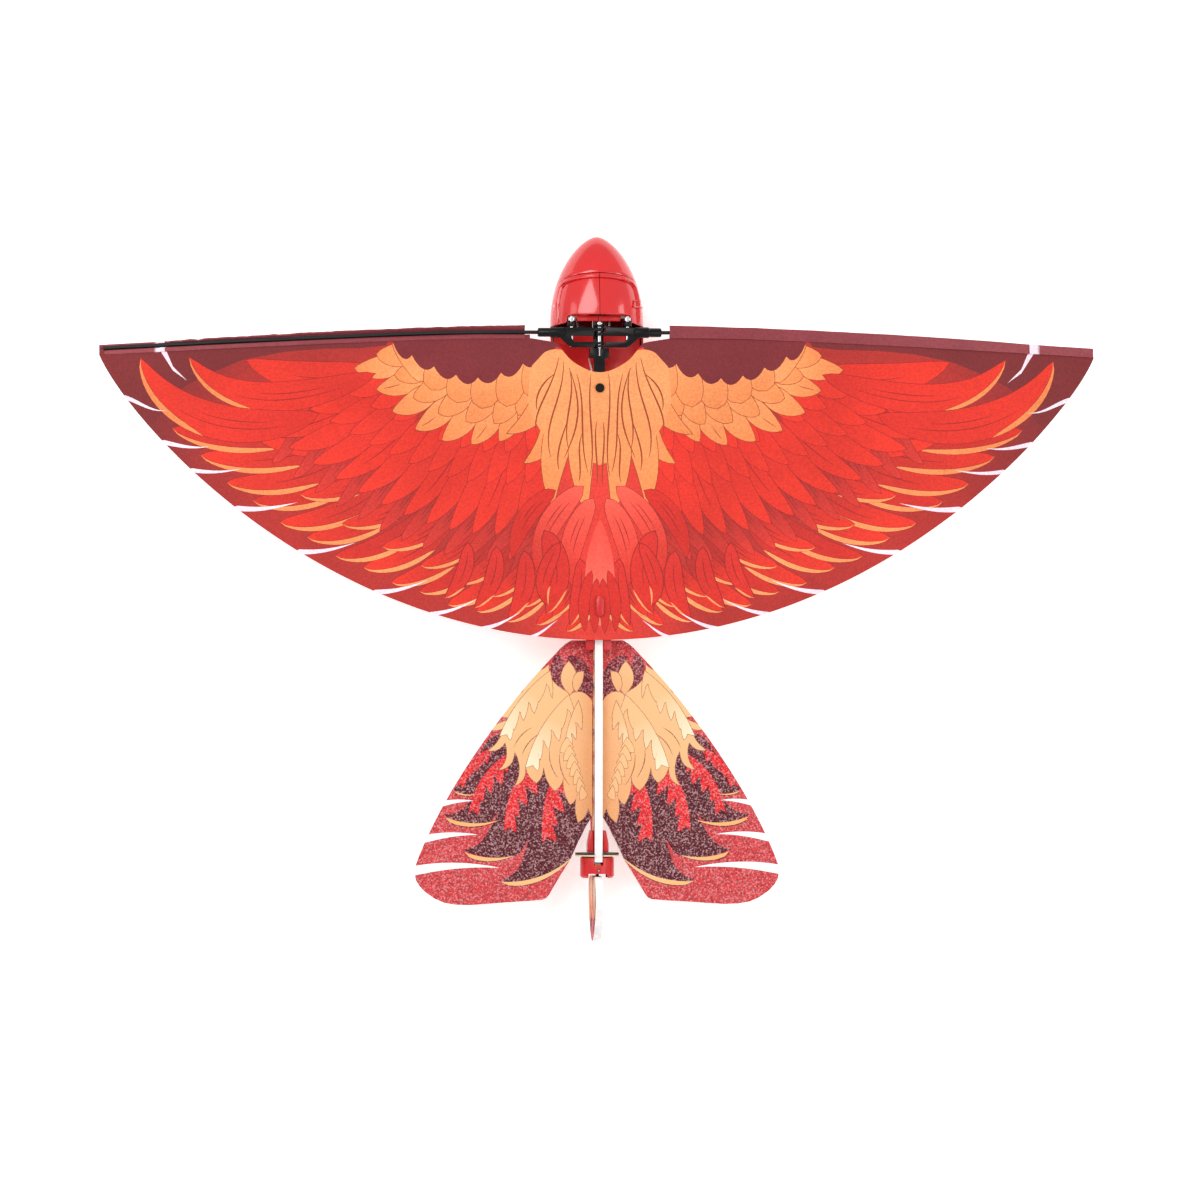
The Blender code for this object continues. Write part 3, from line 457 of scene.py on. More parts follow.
# ------------------------------------------------------------------ cloth print
def trailing_feathers(layers):
    # primaries, from the middle outwards so each shows its lower edge
    tips_x = (213.5, 199.5, 186.5, 173.5, 160, 146.5, 132.5, 118.5, 104.5, 90.5, 76.5, 62, 47,
              32, 17)
    last = len(tips_x) - 1
    for k in range(last, -1, -1):
        s, x = k / last, tips_x[k]
        margin = np.interp(s, (0, 0.15, 0.6, 1), (11.5, 9.0, 8.0, 4.0))
        y = rear_edge_y(x) + margin + (1.2 if k % 2 else 0)
        length = np.interp(s, (0, 0.3, 0.6, 1), (76, 64, 50, 28))
        leave = np.interp(s, (0, 0.07, 0.2, 0.5, 1), (-16, -22, -40, -54, -72))
        arrive = np.interp(s, (0, 0.15, 0.4, 0.7, 1), (18, 8, 2, -10, -36))
        feather = hung_blade((x, y), length, leave, arrive, 0.055 * length + 2.6, (0.6, 0.60),
                             24, mix=(0.56, 0.44))
        add_blade(layers, feather, RED_DEEP, RED_BRIGHT if k % 3 else RED_MID, streaks=1)
        add_light_edge(layers, feather, 0.34 + 0.10 * s, 2.7 - 0.7 * s)
    # second rank: (tip x, distance ahead of the trailing edge)
    second = ((150, 29), (129, 26), (109, 24), (90, 22), (72, 19), (55, 16.5), (39, 14), (24, 11))
    for k, (x, margin) in reversed(list(enumerate(second))):
        s = k / 7
        length = np.interp(s, (0, 0.5, 1), (50, 38, 24))
        leave = np.interp(s, (0, 0.5, 1), (-36, -56, -74))
        arrive = np.interp(s, (0, 0.5, 1), (4, -8, -40))
        feather = hung_blade((x, rear_edge_y(x) + margin), length, leave, arrive,
                             0.055 * length + 2.4, (0.6, 0.60), 20, mix=(0.56, 0.44))
        add_blade(layers, feather, RED_DEEP, RED_BRIGHT, streaks=2)
        add_light_edge(layers, feather, 0.45, 1.9 - 0.6 * s)


def upper_blades(layers):
    # root, tip, leaving and arriving angles, width
    for spec in (((104, -44), (171, -52.5), -22, 12, 7.5),
                 ((108, -36), (196, -38.5), -18, 18, 7.5),
                 ((104, -28), (184, -27), -14, 24, 8.0),
                 ((98, -20), (177, -13.4), -6, 26, 8.5)):
        add_blade(layers, blade(*spec, (0.6, 0.7), 20), RED_MID, RED_BRIGHT, streaks=1)


# count, tip x (start, run), tip y (start, bow, turns of the bow, drop), length (base, bulge),
# leaving angle (start, run), arriving angle (start, run), width, shape, points, root colour,
# line width, streak on every nth
MIDDLE_ROWS = (
    (12, (167, 126), (-49, 50, 0.56, 2), (44, 6), (-24, 56), (-2, 66), 5.6, (0.55, 0.7), 16,
     RED_MID, 0.26, 3),
    (12, (145, 108), (-38, 35, 0.58, 3), (30, 0), (-26, 54), (-4, 62), 4.9, (0.5, 0.75), 14,
     RED_MID, 0.24, 0),
    (9, (126, 90), (-30, 28, 0.6, 2), (22, 0), (-30, 50), (-8, 60), 4.8, (0.5, 0.75), 14,
     srgb(222, 48, 36), 0.24, 0))


def middle_rows(layers):
    # dark wedges under the rows
    for k in range(12):
        s = k / 11
        x = 158 - 118 * s
        y = -60 - 46 * math.sin(s * math.pi * 0.55) - 3 * s
        feather = blade((x - 16, y + 24), (x + 6, y - 5), -50 - 24 * s, -34 - 30 * s, 3.4,
                        (0.6, 0.6), 14)
        add_blade(layers, feather, srgb(158, 38, 34), srgb(214, 52, 42), streaks=2,
                  streak_colour=srgb(146, 32, 30))
    for (count, (x0, x_run), (y0, bow, turns, drop), (length, bulge), (leave0, leave_run),
         (arrive0, arrive_run), width, shape, points, colour, line_width, every) in MIDDLE_ROWS:
        for k in range(count):
            s = k / (count - 1)
            tip = (x0 - x_run * s, y0 - bow * math.sin(s * math.pi * turns) - drop * s)
            feather = hung_blade(tip, length + bulge * math.sin(s * math.pi),
                                 leave0 - leave_run * s ** 0.8, arrive0 - arrive_run * s ** 0.9,
                                 width, shape, points)
            add_blade(layers, feather, colour, RED_BRIGHT, line_width=line_width,
                      streaks=1 if every and k % every == 0 else 0)


def coverts(layers):
    """Peach feathers in three overlapping rows."""
    low = [(123, -17.5), (112, -28), (104, -39), (92.5, -48), (79, -53.5), (64.5, -55.5),
           (50.5, -54), (40, -49)]
    high = [(112, -10.5), (103, -21), (93.5, -32), (81, -40), (67, -44), (53, -45), (41, -41)]
    for tips, leave0, arrive0, length, width, shape in (
            (low, -18, 6, 27, 6.0, (0.5, 0.72)), (high, -16, 10, 23, 6.2, (0.45, 0.62))):
        for i, tip in enumerate(tips):
            k = i / (len(tips) - 1)
            feather = hung_blade(tip, length, leave0 - 62 * k ** 0.8, arrive0 - 70 * k, width,
                                 shape, 16)
            add_blade(layers, feather, PEACH_PALE, PEACH, BROWN, 0.3)
            if tips is low and i % 2:
                layers.append((stroke(feather.line[8:14], 0.2), flat(BROWN)))
    for i in range(6):
        k = i / 5
        tip = (97 - 63 * k, -20 - 14 * math.sin(k * math.pi * 0.85) - 6 * k)
        root = (86 - 58 * k, -6 - 10 * math.sin(k * math.pi * 0.95))
        if i == 0:
            tip, root = (103, -1.5), (86, -24)
        width = 6.8 + 1.4 * math.sin(k * math.pi)
        outlined(layers, leaf(root, tip, width, bend=0.10, shape=(0.35, 0.42)),
                 gradient(PEACH_PALE, PEACH, root, tip), BROWN, 0.3)


def leading_band(layers):
    """Maroon band along the leading edge, scalloped below, with two curled blades over it."""
    cusps = [(22, -6.5), (28, -10), (38.5, -15), (49.5, -19.6), (61, -22.0), (72, -20.6),
             (83, -16.5), (94, -11.0), (103, -6.0)]
    band = [(10, 8), (10, -10)]
    for (x0, y0), (x1, y1) in zip(cusps, cusps[1:]):
        for j in range(7):
            t = j / 7
            scallop = 4.0 * math.sin(math.pi * t) ** 0.8
            band.append((x0 + (x1 - x0) * t, y0 + (y1 - y0) * t - scallop))
    band += [(103, -6), (104.5, -1.8), (107, -6.2), (120, -7.6), (140, -8.0), (158, -9.6),
             (170, -12), (178, -13.5), (196, -21), (206, -26), (214, -33), (221, -44),
             (256, -70), (256, 8)]
    layers.append((np.array(band), gradient(MAROON_ROOT, MAROON_TIP, (40, 0), (230, -20))))
    for root, tip, width, start, depth in (((112, -20), (205, -12.2), 7.6, 0.60, 2.2),
                                           ((140, -40), (229, -12.8), 9.0, 0.55, 2.9)):
        arrive = 58 if root[0] == 112 else 72
        feather = blade(root, tip, -22, arrive, width, (0.62, 0.72), 26)
        add_blade(layers, feather, RED_MID, RED_BRIGHT, streaks=2)
        add_light_edge(layers, feather, start, depth)


# four control points of each brown curl on the chest
CHEST_CURLS = (
    ((15.2, -17), (11.5, -34), (19.5, -42), (15.6, -58)),
    ((15.4, -17), (7.5, -38), (11.5, -48), (17.8, -62)),
    ((11.6, -20), (6.5, -36), (11.0, -52), (6.0, -69)),
    ((4.4, -20), (6.8, -40), (1.6, -54), (4.9, -71)),
    ((18.2, -14), (18.0, -34), (29.5, -44), (24.6, -62)),
    ((20.6, -12), (24, -30), (36, -40), (31, -52)),
    ((16.5, -44), (19, -52), (22.5, -60), (20.5, -68)),
    ((9.0, -50), (12, -58), (8.5, -66), (10.5, -74)),
    ((22.5, -20), (29, -24), (33, -31), (31.5, -38)),
    ((1.6, -44), (3.4, -54), (0.4, -66), (1.4, -76)))


def chest(layers):
    # long pointed plumes
    for spec in (((20, -14), (47, -50), -70, -20, 6.0), ((17, -14), (38.5, -65), -84, -28, 7.0),
                 ((11, -18), (23.5, -86.5), -76, -98, 8.0), ((4, -18), (6.4, -90), -80, -102, 7.4)):
        add_blade(layers, blade(*spec, (0.45, 0.75), 18), PEACH_PALE, PEACH, BROWN, 0.34)
    body = arcs([(-1, -13, 0), (14, -8, 0), (18, -8.5, 0.12), (28, -9.5, 0.0), (34, -16, 0.02),
                 (36, -34, 0.04), (30, -48, 0.03), (22, -58, 0), (12, -57, 0), (4, -64, 0),
                 (-1, -66, 0)])
    layers.append((body, gradient(PEACH_PALE, PEACH, (0, -20), (0, -90))))
    for curl in CHEST_CURLS:
        line = cubic(*np.array(curl, float), np.linspace(0, 1, 20))
        layers.append((stroke(line, 0.42), flat(BROWN)))


def flames(layers):
    """Soft plumes and loops low in the middle."""
    for spec, root_colour in ((((8, -76), (31, -120), -40, -92, 6.0), CORAL),
                              (((3, -82), (14, -126), -56, -100, 6.0), CORAL),
                              (((22, -78), (44, -112), -30, -80, 5.0), RED_MID)):
        add_blade(layers, blade(*spec, (0.5, 0.7), 18), root_colour, RED_MID, streaks=2)
    for spec in (((28, -98), (27, -140), -120, -60, 6.5), ((20, -104), (26, -136), -60, -120, 4.2),
                 ((38, -108), (46, -142), -100, -46, 5.0),
                 ((10, -112), (15, -146), -100, -70, 4.6),
                 ((52, -106), (63, -137), -96, -44, 4.6), ((66, -104), (78, -132), -92, -36, 4.2)):
        feather = blade(*spec, (0.55, 0.7), 16)
        add_blade(layers, feather, srgb(214, 46, 38), RED_MID, line_width=0.42, streaks=1)
        add_light_edge(layers, feather, 0.72, 1.0, lined=False)
    layers.append((leaf((-0.2, -92), (0.2, -146), 7.4, shape=(0.9, 0.7)),
                   gradient(srgb(242, 78, 64), srgb(250, 120, 100), (0, -104), (0, -146))))
    for root, tip, width, bend in (((4.0, -118), (7.6, -149), 3.0, 0.12),
                                   ((1.4, -122), (2.4, -150), 2.8, 0.04)):
        outlined(layers, leaf(root, tip, width, bend, (0.6, 0.7)), RED_MID, line_width=0.25)


def white_marks(layers):
    # wedges running in from the trailing edge: x, length, width
    for x, length, width in ((236, 20, 1.0), (217, 22, 1.1), (203, 24, 1.0), (181, 30, 1.3),
                             (150, 28, 1.2), (112, 26, 1.2), (84, 22, 1.0), (58, 18, 1.0),
                             (34, 13, 0.8)):
        y = rear_edge_y(x)
        k = (250 - x) / 216
        rise = np.interp(k, [0, 0.08, 0.2, 0.35, 0.7, 1], [-9, -5, 1.0, 4.0, 6.5, 8.0])
        wedge = blade((x + 3.0, y - 1.2 * k + 1.6 * (1 - k)), (x - length, y + rise),
                      196 - 26 * k, 176 - 30 * k, width, (0.10, 0.95), 14)
        layers.append((wedge.outline, flat(WHITE)))
    # stripe crossing the leading edge near the tip
    stripe = [(217.3, 6), (220.8, 6), (219.4, -9), (213, -19), (206, -24), (213, -17),
              (216.4, -9)]
    layers.append((np.array(stripe), flat(WHITE)))


def cloth_layers():
    layers = []
    for draw in (trailing_feathers, upper_blades, middle_rows, coverts, leading_band, chest,
                 flames, white_marks):
        draw(layers)
    return layers


def cloth_base(points):
    x = np.abs(points[:, 0])
    outer = smoothstep(165, 236, x)[:, None]
    middle = smoothstep(0, 60, x)[:, None]
    colour = srgb(222, 58, 46) * (1 - middle) + srgb(176, 44, 38) * middle
    return colour * (1 - outer) + srgb(126, 40, 42) * outer


def cloth_outline(side):
    points = [(x, np.interp(x, NECK_X, NECK_Y)) for x in np.linspace(0, HEM_ROOT_X, 31)]
    # just behind the rod; the hem pieces cover the strip ahead
    points += [(x, spar_y(x) - 1.2) for x in np.linspace(HEM_ROOT_X, 249.2, 60)]
    tip_x = [249.6, 249.0, 248, 246.5, 244.5, 242, 239, 235]
    points += [(x, rear_edge_y(x)) for x in np.concatenate([tip_x, np.linspace(230, 0, 60)])]
    return for_side(points, side)


def cloth_height(side):
    def height(x, y):
        out = np.abs(x)
        front = spar_y(x)
        chord = np.clip((front - y) / np.maximum(front - rear_edge_y(x), 1), 0, 1)
        free = smoothstep(22, 90, out)
        sag = -3.4 * np.sin(np.pi * chord) ** 1.2 * free * smoothstep(250, 120, out)
        lift = 1.2 * chord ** 2 * free
        # faint tension folds fanning out from the root and from the rear of the middle
        angle = np.arctan2(y + 8, out + 1e-3)
        radius = np.hypot(out - 8, y + 6)
        fold = (0.38 * np.sin(angle * 26 + 0.6 * side) * smoothstep(22, 60, radius)
                * smoothstep(190, 110, radius))
        angle = np.arctan2(y + 134, out + 1e-3)
        radius = np.hypot(out, y + 134)
        fold += (0.30 * np.sin(angle * 17 + side) * smoothstep(12, 30, radius)
                 * smoothstep(95, 50, radius))
        fold *= smoothstep(3, 22, out)
        # dip along the hem and ripple along the trailing edge
        hem = 0.5 * np.exp(-((front - 1.6 - y) / 2.2) ** 2) * smoothstep(33, 38, out)
        ripple = 0.35 * np.sin(out * 0.21 + side) * smoothstep(0.9, 1.0, chord) * free
        return 1.75 + sag + lift + fold + ripple - hem
    return height


# ------------------------------------------------------------------ materials
class Surface:
    """A material being built around its Principled shader."""

    def __init__(self, name):
        self.material = bpy.data.materials.new(name)
        self.material.use_nodes = True
        self.tree = self.material.node_tree
        self.shader = self.tree.nodes["Principled BSDF"]

    def feed(self, node, inputs):
        """Link or set the node's inputs, keyed by name or index."""
        for key, value in inputs.items():
            socket = node.inputs[key]
            if isinstance(value, bpy.types.NodeSocket):
                self.tree.links.new(value, socket)
            else:
                socket.default_value = (*value, 1) if socket.type == "RGBA" else value

    def finish(self, **inputs):
        """Set the shader's inputs; underscores stand for spaces."""
        self.feed(self.shader, {key.replace("_", " "): value for key, value in inputs.items()})
        return self.material

    def node(self, kind, inputs=None, **settings):
        node = self.tree.nodes.new(kind)
        for key, value in settings.items():
            setattr(node, key, value)
        self.feed(node, inputs or {})
        return node

    def coords(self):
        return self.node("ShaderNodeTexCoord").outputs["Object"]

    def axes(self):
        return self.node("ShaderNodeSeparateXYZ", {0: self.coords()}).outputs

    def print_colour(self):
        return self.node("ShaderNodeAttribute", attribute_name="Print").outputs["Color"]

    def noise(self, scale, detail=3.0, roughness=0.55, stretch=None):
        vector = self.coords()
        if stretch:
            mapping = self.node("ShaderNodeMapping", {"Vector": vector, "Scale": stretch})
            vector = mapping.outputs[0]
        return self.node("ShaderNodeTexNoise", {
            "Vector": vector, "Scale": scale, "Detail": detail,
            "Roughness": roughness}).outputs["Fac"]

    def beads(self, scale):
        return self.node("ShaderNodeTexVoronoi", {"Scale": scale, "Vector": self.coords()},
                         feature="SMOOTH_F1").outputs["Distance"]

    def ramp(self, factor, *stops):
        """Two-stop colour ramp."""
        node = self.node("ShaderNodeValToRGB", {"Fac": factor})
        for element, (position, colour) in zip(node.color_ramp.elements, stops):
            element.position = position
            element.color = (*colour, 1)
        return node.outputs[0]

    def grey_ramp(self, factor, low, high):
        return self.ramp(factor, (0.3, (low,) * 3), (0.7, (high,) * 3))

    def mix(self, a, b, factor, mode="MIX"):
        return self.node("ShaderNodeMix", {0: factor, 6: a, 7: b}, data_type="RGBA",
                         blend_type=mode).outputs[2]

    def bump(self, height, strength, distance, normal=None):
        inputs = {"Strength": strength, "Distance": distance, "Height": height}
        if normal is not None:
            inputs["Normal"] = normal
        return self.node("ShaderNodeBump", inputs).outputs["Normal"]

    def math(self, operation, *values, clamp=False):
        return self.node("ShaderNodeMath", dict(enumerate(values)), operation=operation,
                         use_clamp=clamp).outputs[0]


def weave_height(surface, pitch):
    """Over-and-under threads from two crossed sine waves."""
    x, y, _ = surface.axes()
    waves = [surface.math("SINE", surface.math("MULTIPLY", axis, math.pi / pitch))
             for axis in (x, y)]
    product = surface.math("MULTIPLY", *waves)
    warp, weft = [surface.math("ABSOLUTE", wave) for wave in waves]
    # warp on top where the product is positive, weft elsewhere
    warp_up = surface.math("GREATER_THAN", product, 0.0)
    weft_up = surface.math("SUBTRACT", 1.0, warp_up)
    return surface.math("ADD", surface.math("MULTIPLY", warp, warp_up),
                        surface.math("MULTIPLY", weft, weft_up))


def cloth_material():
    surface = Surface("wing_cloth_print")
    colour = surface.print_colour()
    # broad tone changes, then fine mottling
    for scale, detail, low, high in (
            (24, 3, (0.35, (0.90, 0.88, 0.88)), (0.65, (1.06, 1.05, 1.05))),
            (900, 2, (0.36, (0.86, 0.83, 0.83)), (0.64, (1.08, 1.06, 1.06)))):
        tone = surface.ramp(surface.noise(scale, detail), low, high)
        colour = surface.mix(colour, tone, 1.0, "MULTIPLY")
    threads = surface.bump(weave_height(surface, pitch=0.00032), strength=0.35,
                           distance=0.00008)
    return surface.finish(
        Base_Color=colour, Roughness=0.62, Sheen_Weight=0.12, Sheen_Roughness=0.4,
        Specular_IOR_Level=0.3,
        Normal=surface.bump(surface.noise(60), strength=0.12, distance=0.0012, normal=threads))


def foam_material():
    """Printed bead foam: bead cells, and ink that misses spots, most in dark areas."""
    surface = Surface("tail_foam_print")
    ink = surface.print_colour()
    brightness = surface.node("ShaderNodeRGBToBW", {0: ink}).outputs[0]

    def darkness(gain, strength):
        light = surface.math("MULTIPLY", brightness, gain, clamp=True)
        return surface.math("MULTIPLY", surface.math("SUBTRACT", 1.0, light, clamp=True),
                            strength)
    grain = surface.noise(1250, detail=2, roughness=0.6)
    spots = surface.ramp(grain, (0.52, (0, 0, 0)), (0.58, (1, 1, 1)))
    missed = surface.math("MULTIPLY", spots, darkness(gain=1.5, strength=0.72))
    colour = surface.mix(ink, surface.mix(ink, (0.86, 0.52, 0.52), 0.66), missed)
    blots = surface.ramp(surface.noise(1050, detail=2), (0.42, (0.34, 0.30, 0.32)),
                         (0.50, (1, 1, 1)))
    colour = surface.mix(colour, blots, darkness(gain=1.9, strength=0.95), "MULTIPLY")
    cells = surface.bump(surface.beads(420), strength=0.35, distance=0.0004)
    return surface.finish(
        Base_Color=colour, Roughness=0.7, Specular_IOR_Level=0.25,
        Normal=surface.bump(grain, strength=0.3, distance=0.00015, normal=cells))


def foam_edge_material():
    surface = Surface("foam_cut_edge")
    return surface.finish(
        Base_Color=surface.ramp(surface.noise(300), (0.3, (0.80, 0.74, 0.73)),
                                (0.7, (0.93, 0.89, 0.88))),
        Roughness=0.8,
        Normal=surface.bump(surface.beads(500), strength=0.4, distance=0.0003))


def plastic(name, colour, roughness, coat=0.0, grain=0.0, vary=0.06, specular=0.5):
    """vary is the share the colour drifts by; grain is the strength of a fine texture."""
    surface = Surface(name)
    colour = np.array(colour)
    if grain:
        normal = surface.bump(surface.noise(1800, detail=2), grain, distance=0.00005)
    else:
        normal = surface.bump(surface.noise(35, detail=2), strength=0.06, distance=0.0004)
    return surface.finish(
        Base_Color=surface.ramp(surface.noise(45), (0.35, colour * (1 - vary)),
                                (0.65, colour * (1 + vary))),
        Roughness=surface.grey_ramp(surface.noise(220, detail=4), roughness * 0.8,
                                    roughness * 1.25),
        Coat_Weight=coat, Coat_Roughness=0.06, Specular_IOR_Level=specular, Normal=normal)


def metal(name, colour, roughness, stretch=(300, 300, 300)):
    surface = Surface(name)
    colour = np.array(colour)
    grain = surface.noise(6, detail=4, roughness=0.5, stretch=stretch)
    return surface.finish(
        Metallic=1.0, Base_Color=surface.ramp(grain, (0.3, colour * 0.85), (0.7, colour * 1.08)),
        Roughness=surface.grey_ramp(grain, roughness * 0.7, roughness * 1.4),
        Normal=surface.bump(grain, strength=0.12, distance=0.00004))


def carbon_material():
    surface = Surface("carbon_pultruded")
    fibres = surface.noise(1.0, roughness=0.5, stretch=(20, 1800, 1800))
    return surface.finish(
        Base_Color=surface.ramp(fibres, (0.3, (0.003, 0.003, 0.003)),
                                (0.7, (0.016, 0.016, 0.017))),
        Roughness=0.38, Specular_IOR_Level=0.25,
        Normal=surface.bump(fibres, strength=0.2, distance=0.00004))


def board_material(node):
    """Pale bare laminate at the rear of the thickness, black mask on the front."""
    surface = Surface("board_two_tone")
    ys = [vertex.co.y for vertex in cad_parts[node].data.vertices]
    back, front = min(ys), max(ys)
    depth = surface.math("MULTIPLY", surface.math("SUBTRACT", surface.axes()[1], back),
                         1.0 / max(front - back, 1e-9), clamp=True)
    colour = surface.ramp(depth, (0.40, srgb(226, 204, 160)), (0.46, srgb(24, 22, 22)))
    grain = surface.grey_ramp(surface.noise(900, detail=2), 0.86, 1.05)
    return surface.finish(Base_Color=surface.mix(colour, grain, 1.0, "MULTIPLY"), Roughness=0.4)


CLOTH = cloth_material()
FOAM = foam_material()
FOAM_EDGE = foam_edge_material()
GLOSS_RED = plastic("gloss_red_abs", srgb(206, 10, 16), 0.17, coat=0.6)
# red painted brighter than the gloss shell red: painted light that offsets the shade inside the
# opening, used on the floor and the gear guards
SATIN_RED_PAINTED_LIGHT = plastic("satin_red_abs_painted_light", srgb(236, 14, 16), 0.42)
MOULDED_RED = plastic("moulded_red_nylon", srgb(196, 18, 22), 0.32, coat=0.1, grain=0.1)
BLACK = plastic("black_nylon", (0.0030, 0.0028, 0.0029), 0.28, grain=0.12, vary=0.3,
                specular=0.2)
ACETAL = plastic("natural_acetal", srgb(226, 222, 208), 0.38)
STEEL = metal("turned_steel", (0.66, 0.66, 0.68), 0.2)
MOTOR_STEEL = metal("motor_can_steel", (0.55, 0.55, 0.57), 0.25, stretch=(60, 600, 60))
CARBON = carbon_material()
COPPER = metal("enamel_copper", (0.62, 0.25, 0.09), 0.3, stretch=(200, 2400, 200))
GREEN_MASK = plastic("board_green_mask", srgb(24, 92, 56), 0.35, grain=0.2)
CONNECTOR = plastic("connector_nylon", srgb(232, 228, 214), 0.45)
WIRE = plastic("silicone_wire", srgb(236, 234, 230), 0.5)
NICKEL = metal("nickel_plate", (0.72, 0.71, 0.68), 0.15)
FOIL = metal("battery_pouch_foil", (0.66, 0.66, 0.68), 0.3, stretch=(90, 90, 90))

PAINTED = (
    (BLACK, """gearbox_frame cloth_peg con_rod_left con_rod_right switch_body switch_knob
     rudder_carrier lever_left lever_right"""),
    (GLOSS_RED, "shell_left shell_right nose_cap"),
    (MOULDED_RED, "tail_bracket actuator_mount actuator_cup"),
    (STEEL, """hinge_axle crank_axle_left crank_axle_right idler_axle crank_pin_left
     crank_pin_right lever_pin_left lever_pin_right shell_screw_left_upper
     shell_screw_left_lower shell_screw_right_upper shell_screw_right_lower rudder_pin
     motor_pinion"""),
    (MOTOR_STEEL, "motor_can"),
    (ACETAL, "crank_gear_left crank_gear_right idler_gear"),
    (CARBON, "boom_rod spar_left spar_right"),
    (FOIL, "battery_cell"),
    (GREEN_MASK, "receiver_board"),
    (CONNECTOR, "charge_socket"),
    (WIRE, "tail_cable"),
    (board_material("actuator_board"), "actuator_board"),
    (COPPER, "actuator_coil"),
    (NICKEL, "rudder_magnet"))

for material, names in PAINTED:
    for name in names.split():
        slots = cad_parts[name].data.materials
        slots.clear()
        slots.append(material)
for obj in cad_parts.values():
    shade(obj.data, 32)


# ------------------------------------------------------------------ solid building blocks
# A solid is a pair of lists: vertices and faces.
def solid_object(name, verts, faces, material=None):
    mesh = bpy.data.meshes.new(name)
    mesh.from_pydata([tuple((np.array(v, float) + HINGE) * MM) for v in verts], [], faces)
    edit = bmesh.new()
    edit.from_mesh(mesh)
    bmesh.ops.remove_doubles(edit, verts=edit.verts[:], dist=2e-6)
    bmesh.ops.dissolve_degenerate(edit, dist=1e-6, edges=edit.edges[:])
    bmesh.ops.recalc_face_normals(edit, faces=edit.faces[:])
    edit.to_mesh(mesh)
    edit.free()
    shade(mesh, 38)
    if material is not None:
        mesh.materials.append(material)
    return add_object(name, mesh)


def patch_solid(outer, inner):
    """Closed solid between two grids of points."""
    rows, cols = len(outer), len(outer[0])
    verts = [p for row in outer for p in row] + [p for row in inner for p in row]
    m = rows * cols
    faces = []
    for i in range(rows - 1):
        for j in range(cols - 1):
            a, b, c, d = (i * cols + j, i * cols + j + 1, (i + 1) * cols + j + 1,
                          (i + 1) * cols + j)
            faces += [(a, b, c, d), (m + d, m + c, m + b, m + a)]
    for i in range(rows - 1):
        a, d = i * cols, (i + 1) * cols
        faces.append((a, d, m + d, m + a))
        a, d = a + cols - 1, d + cols - 1
        faces.append((d, a, m + a, m + d))
    for j in range(cols - 1):
        faces.append((j + 1, j, m + j, m + j + 1))
        a = (rows - 1) * cols + j
        faces.append((a, a + 1, m + a + 1, m + a))
    return verts, faces


def ring_faces(count, seg):
    """Faces joining rings of seg points, with both ends closed."""
    faces = []
    for i in range(count - 1):
        for k in range(seg):
            k2 = (k + 1) % seg
            faces.append((i * seg + k, i * seg + k2, (i + 1) * seg + k2, (i + 1) * seg + k))
    return faces + [tuple(range(seg)), tuple((count - 1) * seg + k for k in range(seg))]


def ring(centre, u, v, radius, seg):
    turns = [2 * math.pi * k / seg for k in range(seg)]
    return [centre + (u * math.cos(a) + v * math.sin(a)) * radius for a in turns]


def tube(points, radius):
    """Round bead along a line; radius is a number or a function of the share of the way."""
    seg = 10
    points = [Vector(p) for p in points]
    verts = []
    last = len(points) - 1
    for i, p in enumerate(points):
        along = (points[min(i + 1, last)] - points[max(i - 1, 0)]).normalized()
        up = Vector((0, 0, 1)) if abs(along.z) < 0.9 else Vector((0, 1, 0))
        u = along.cross(up).normalized()
        size = radius(i / last) if callable(radius) else radius
        verts += ring(p, u, u.cross(along), size, seg)
    return verts, ring_faces(len(points), seg)


def lathe(origin, axis, profile, seg):
    """Turned solid from (distance along the axis, radius) pairs."""
    w = Vector(axis).normalized()
    u = Vector((0, 0, 1)) if abs(w.z) < 0.9 else Vector((1, 0, 0))
    u = (u - w * u.dot(w)).normalized()
    verts = []
    for t, radius in profile:
        verts += ring(Vector(origin) + w * t, u, w.cross(u), radius, seg)
    return verts, ring_faces(len(profile), seg)


def block(x0, x1, y0, y1, z0, z1):
    verts = [(x, y, z) for x in (x0, x1) for y in (y0, y1) for z in (z0, z1)]
    return verts, [(0, 1, 3, 2), (4, 6, 7, 5), (0, 4, 5, 1), (2, 3, 7, 6), (0, 2, 6, 4),
                   (1, 5, 7, 3)]


def join(verts, faces, more):
    first = len(verts)
    verts += more[0]
    faces += [tuple(first + i for i in face) for face in more[1]]


def flip(verts, side):
    return [Vector((side * v.x, v.y, v.z)) for v in verts]


def carve(obj, *solids):
    cutters = []
    for verts, faces in solids:
        cutter = solid_object("cutter", verts, faces)
        modifier = obj.modifiers.new("cut", "BOOLEAN")
        modifier.operation = "DIFFERENCE"
        modifier.solver = "EXACT"
        modifier.object = cutter
        cutters.append(cutter)
    bake_modifiers(obj)
    for cutter in cutters:
        bpy.data.objects.remove(cutter, do_unlink=True)
    shade(obj.data, 38)


# ------------------------------------------------------------------ body shell
SHELL_HALF_W = 23.5
SHELL_CENTRE_Z = -15.0
SHELL_UP, SHELL_DOWN = 19.0, 24.0       # heights above and below the centre
BELLY_Z = -37.5                         # flat underside
NOSE_Y, TAIL_END_Y = 49.5, -50.0
OPEN_Y = 10.0                           # front edge of the top opening
OPEN_HALF_W = 16.8
OPEN_CORNER_R = 2.6
RIM_Z = -12.6                           # rim height along the sides of the opening
CAP_EDGE_Y = 24.0                       # rear edge of the nose cap at the belly
# angles round the shell run from 0 at the belly to pi at the top


def width_at(y):
    """Half width of the shell."""
    if y > 5.0:
        return SHELL_HALF_W * max(0.0, 1 - ((y - 5.0) / (NOSE_Y - 5.0)) ** 2) ** 0.62
    if y < -8.0:
        return SHELL_HALF_W * max(0.0, 1 - ((-8.0 - y) / 47.0) ** 2) ** 0.55
    return SHELL_HALF_W


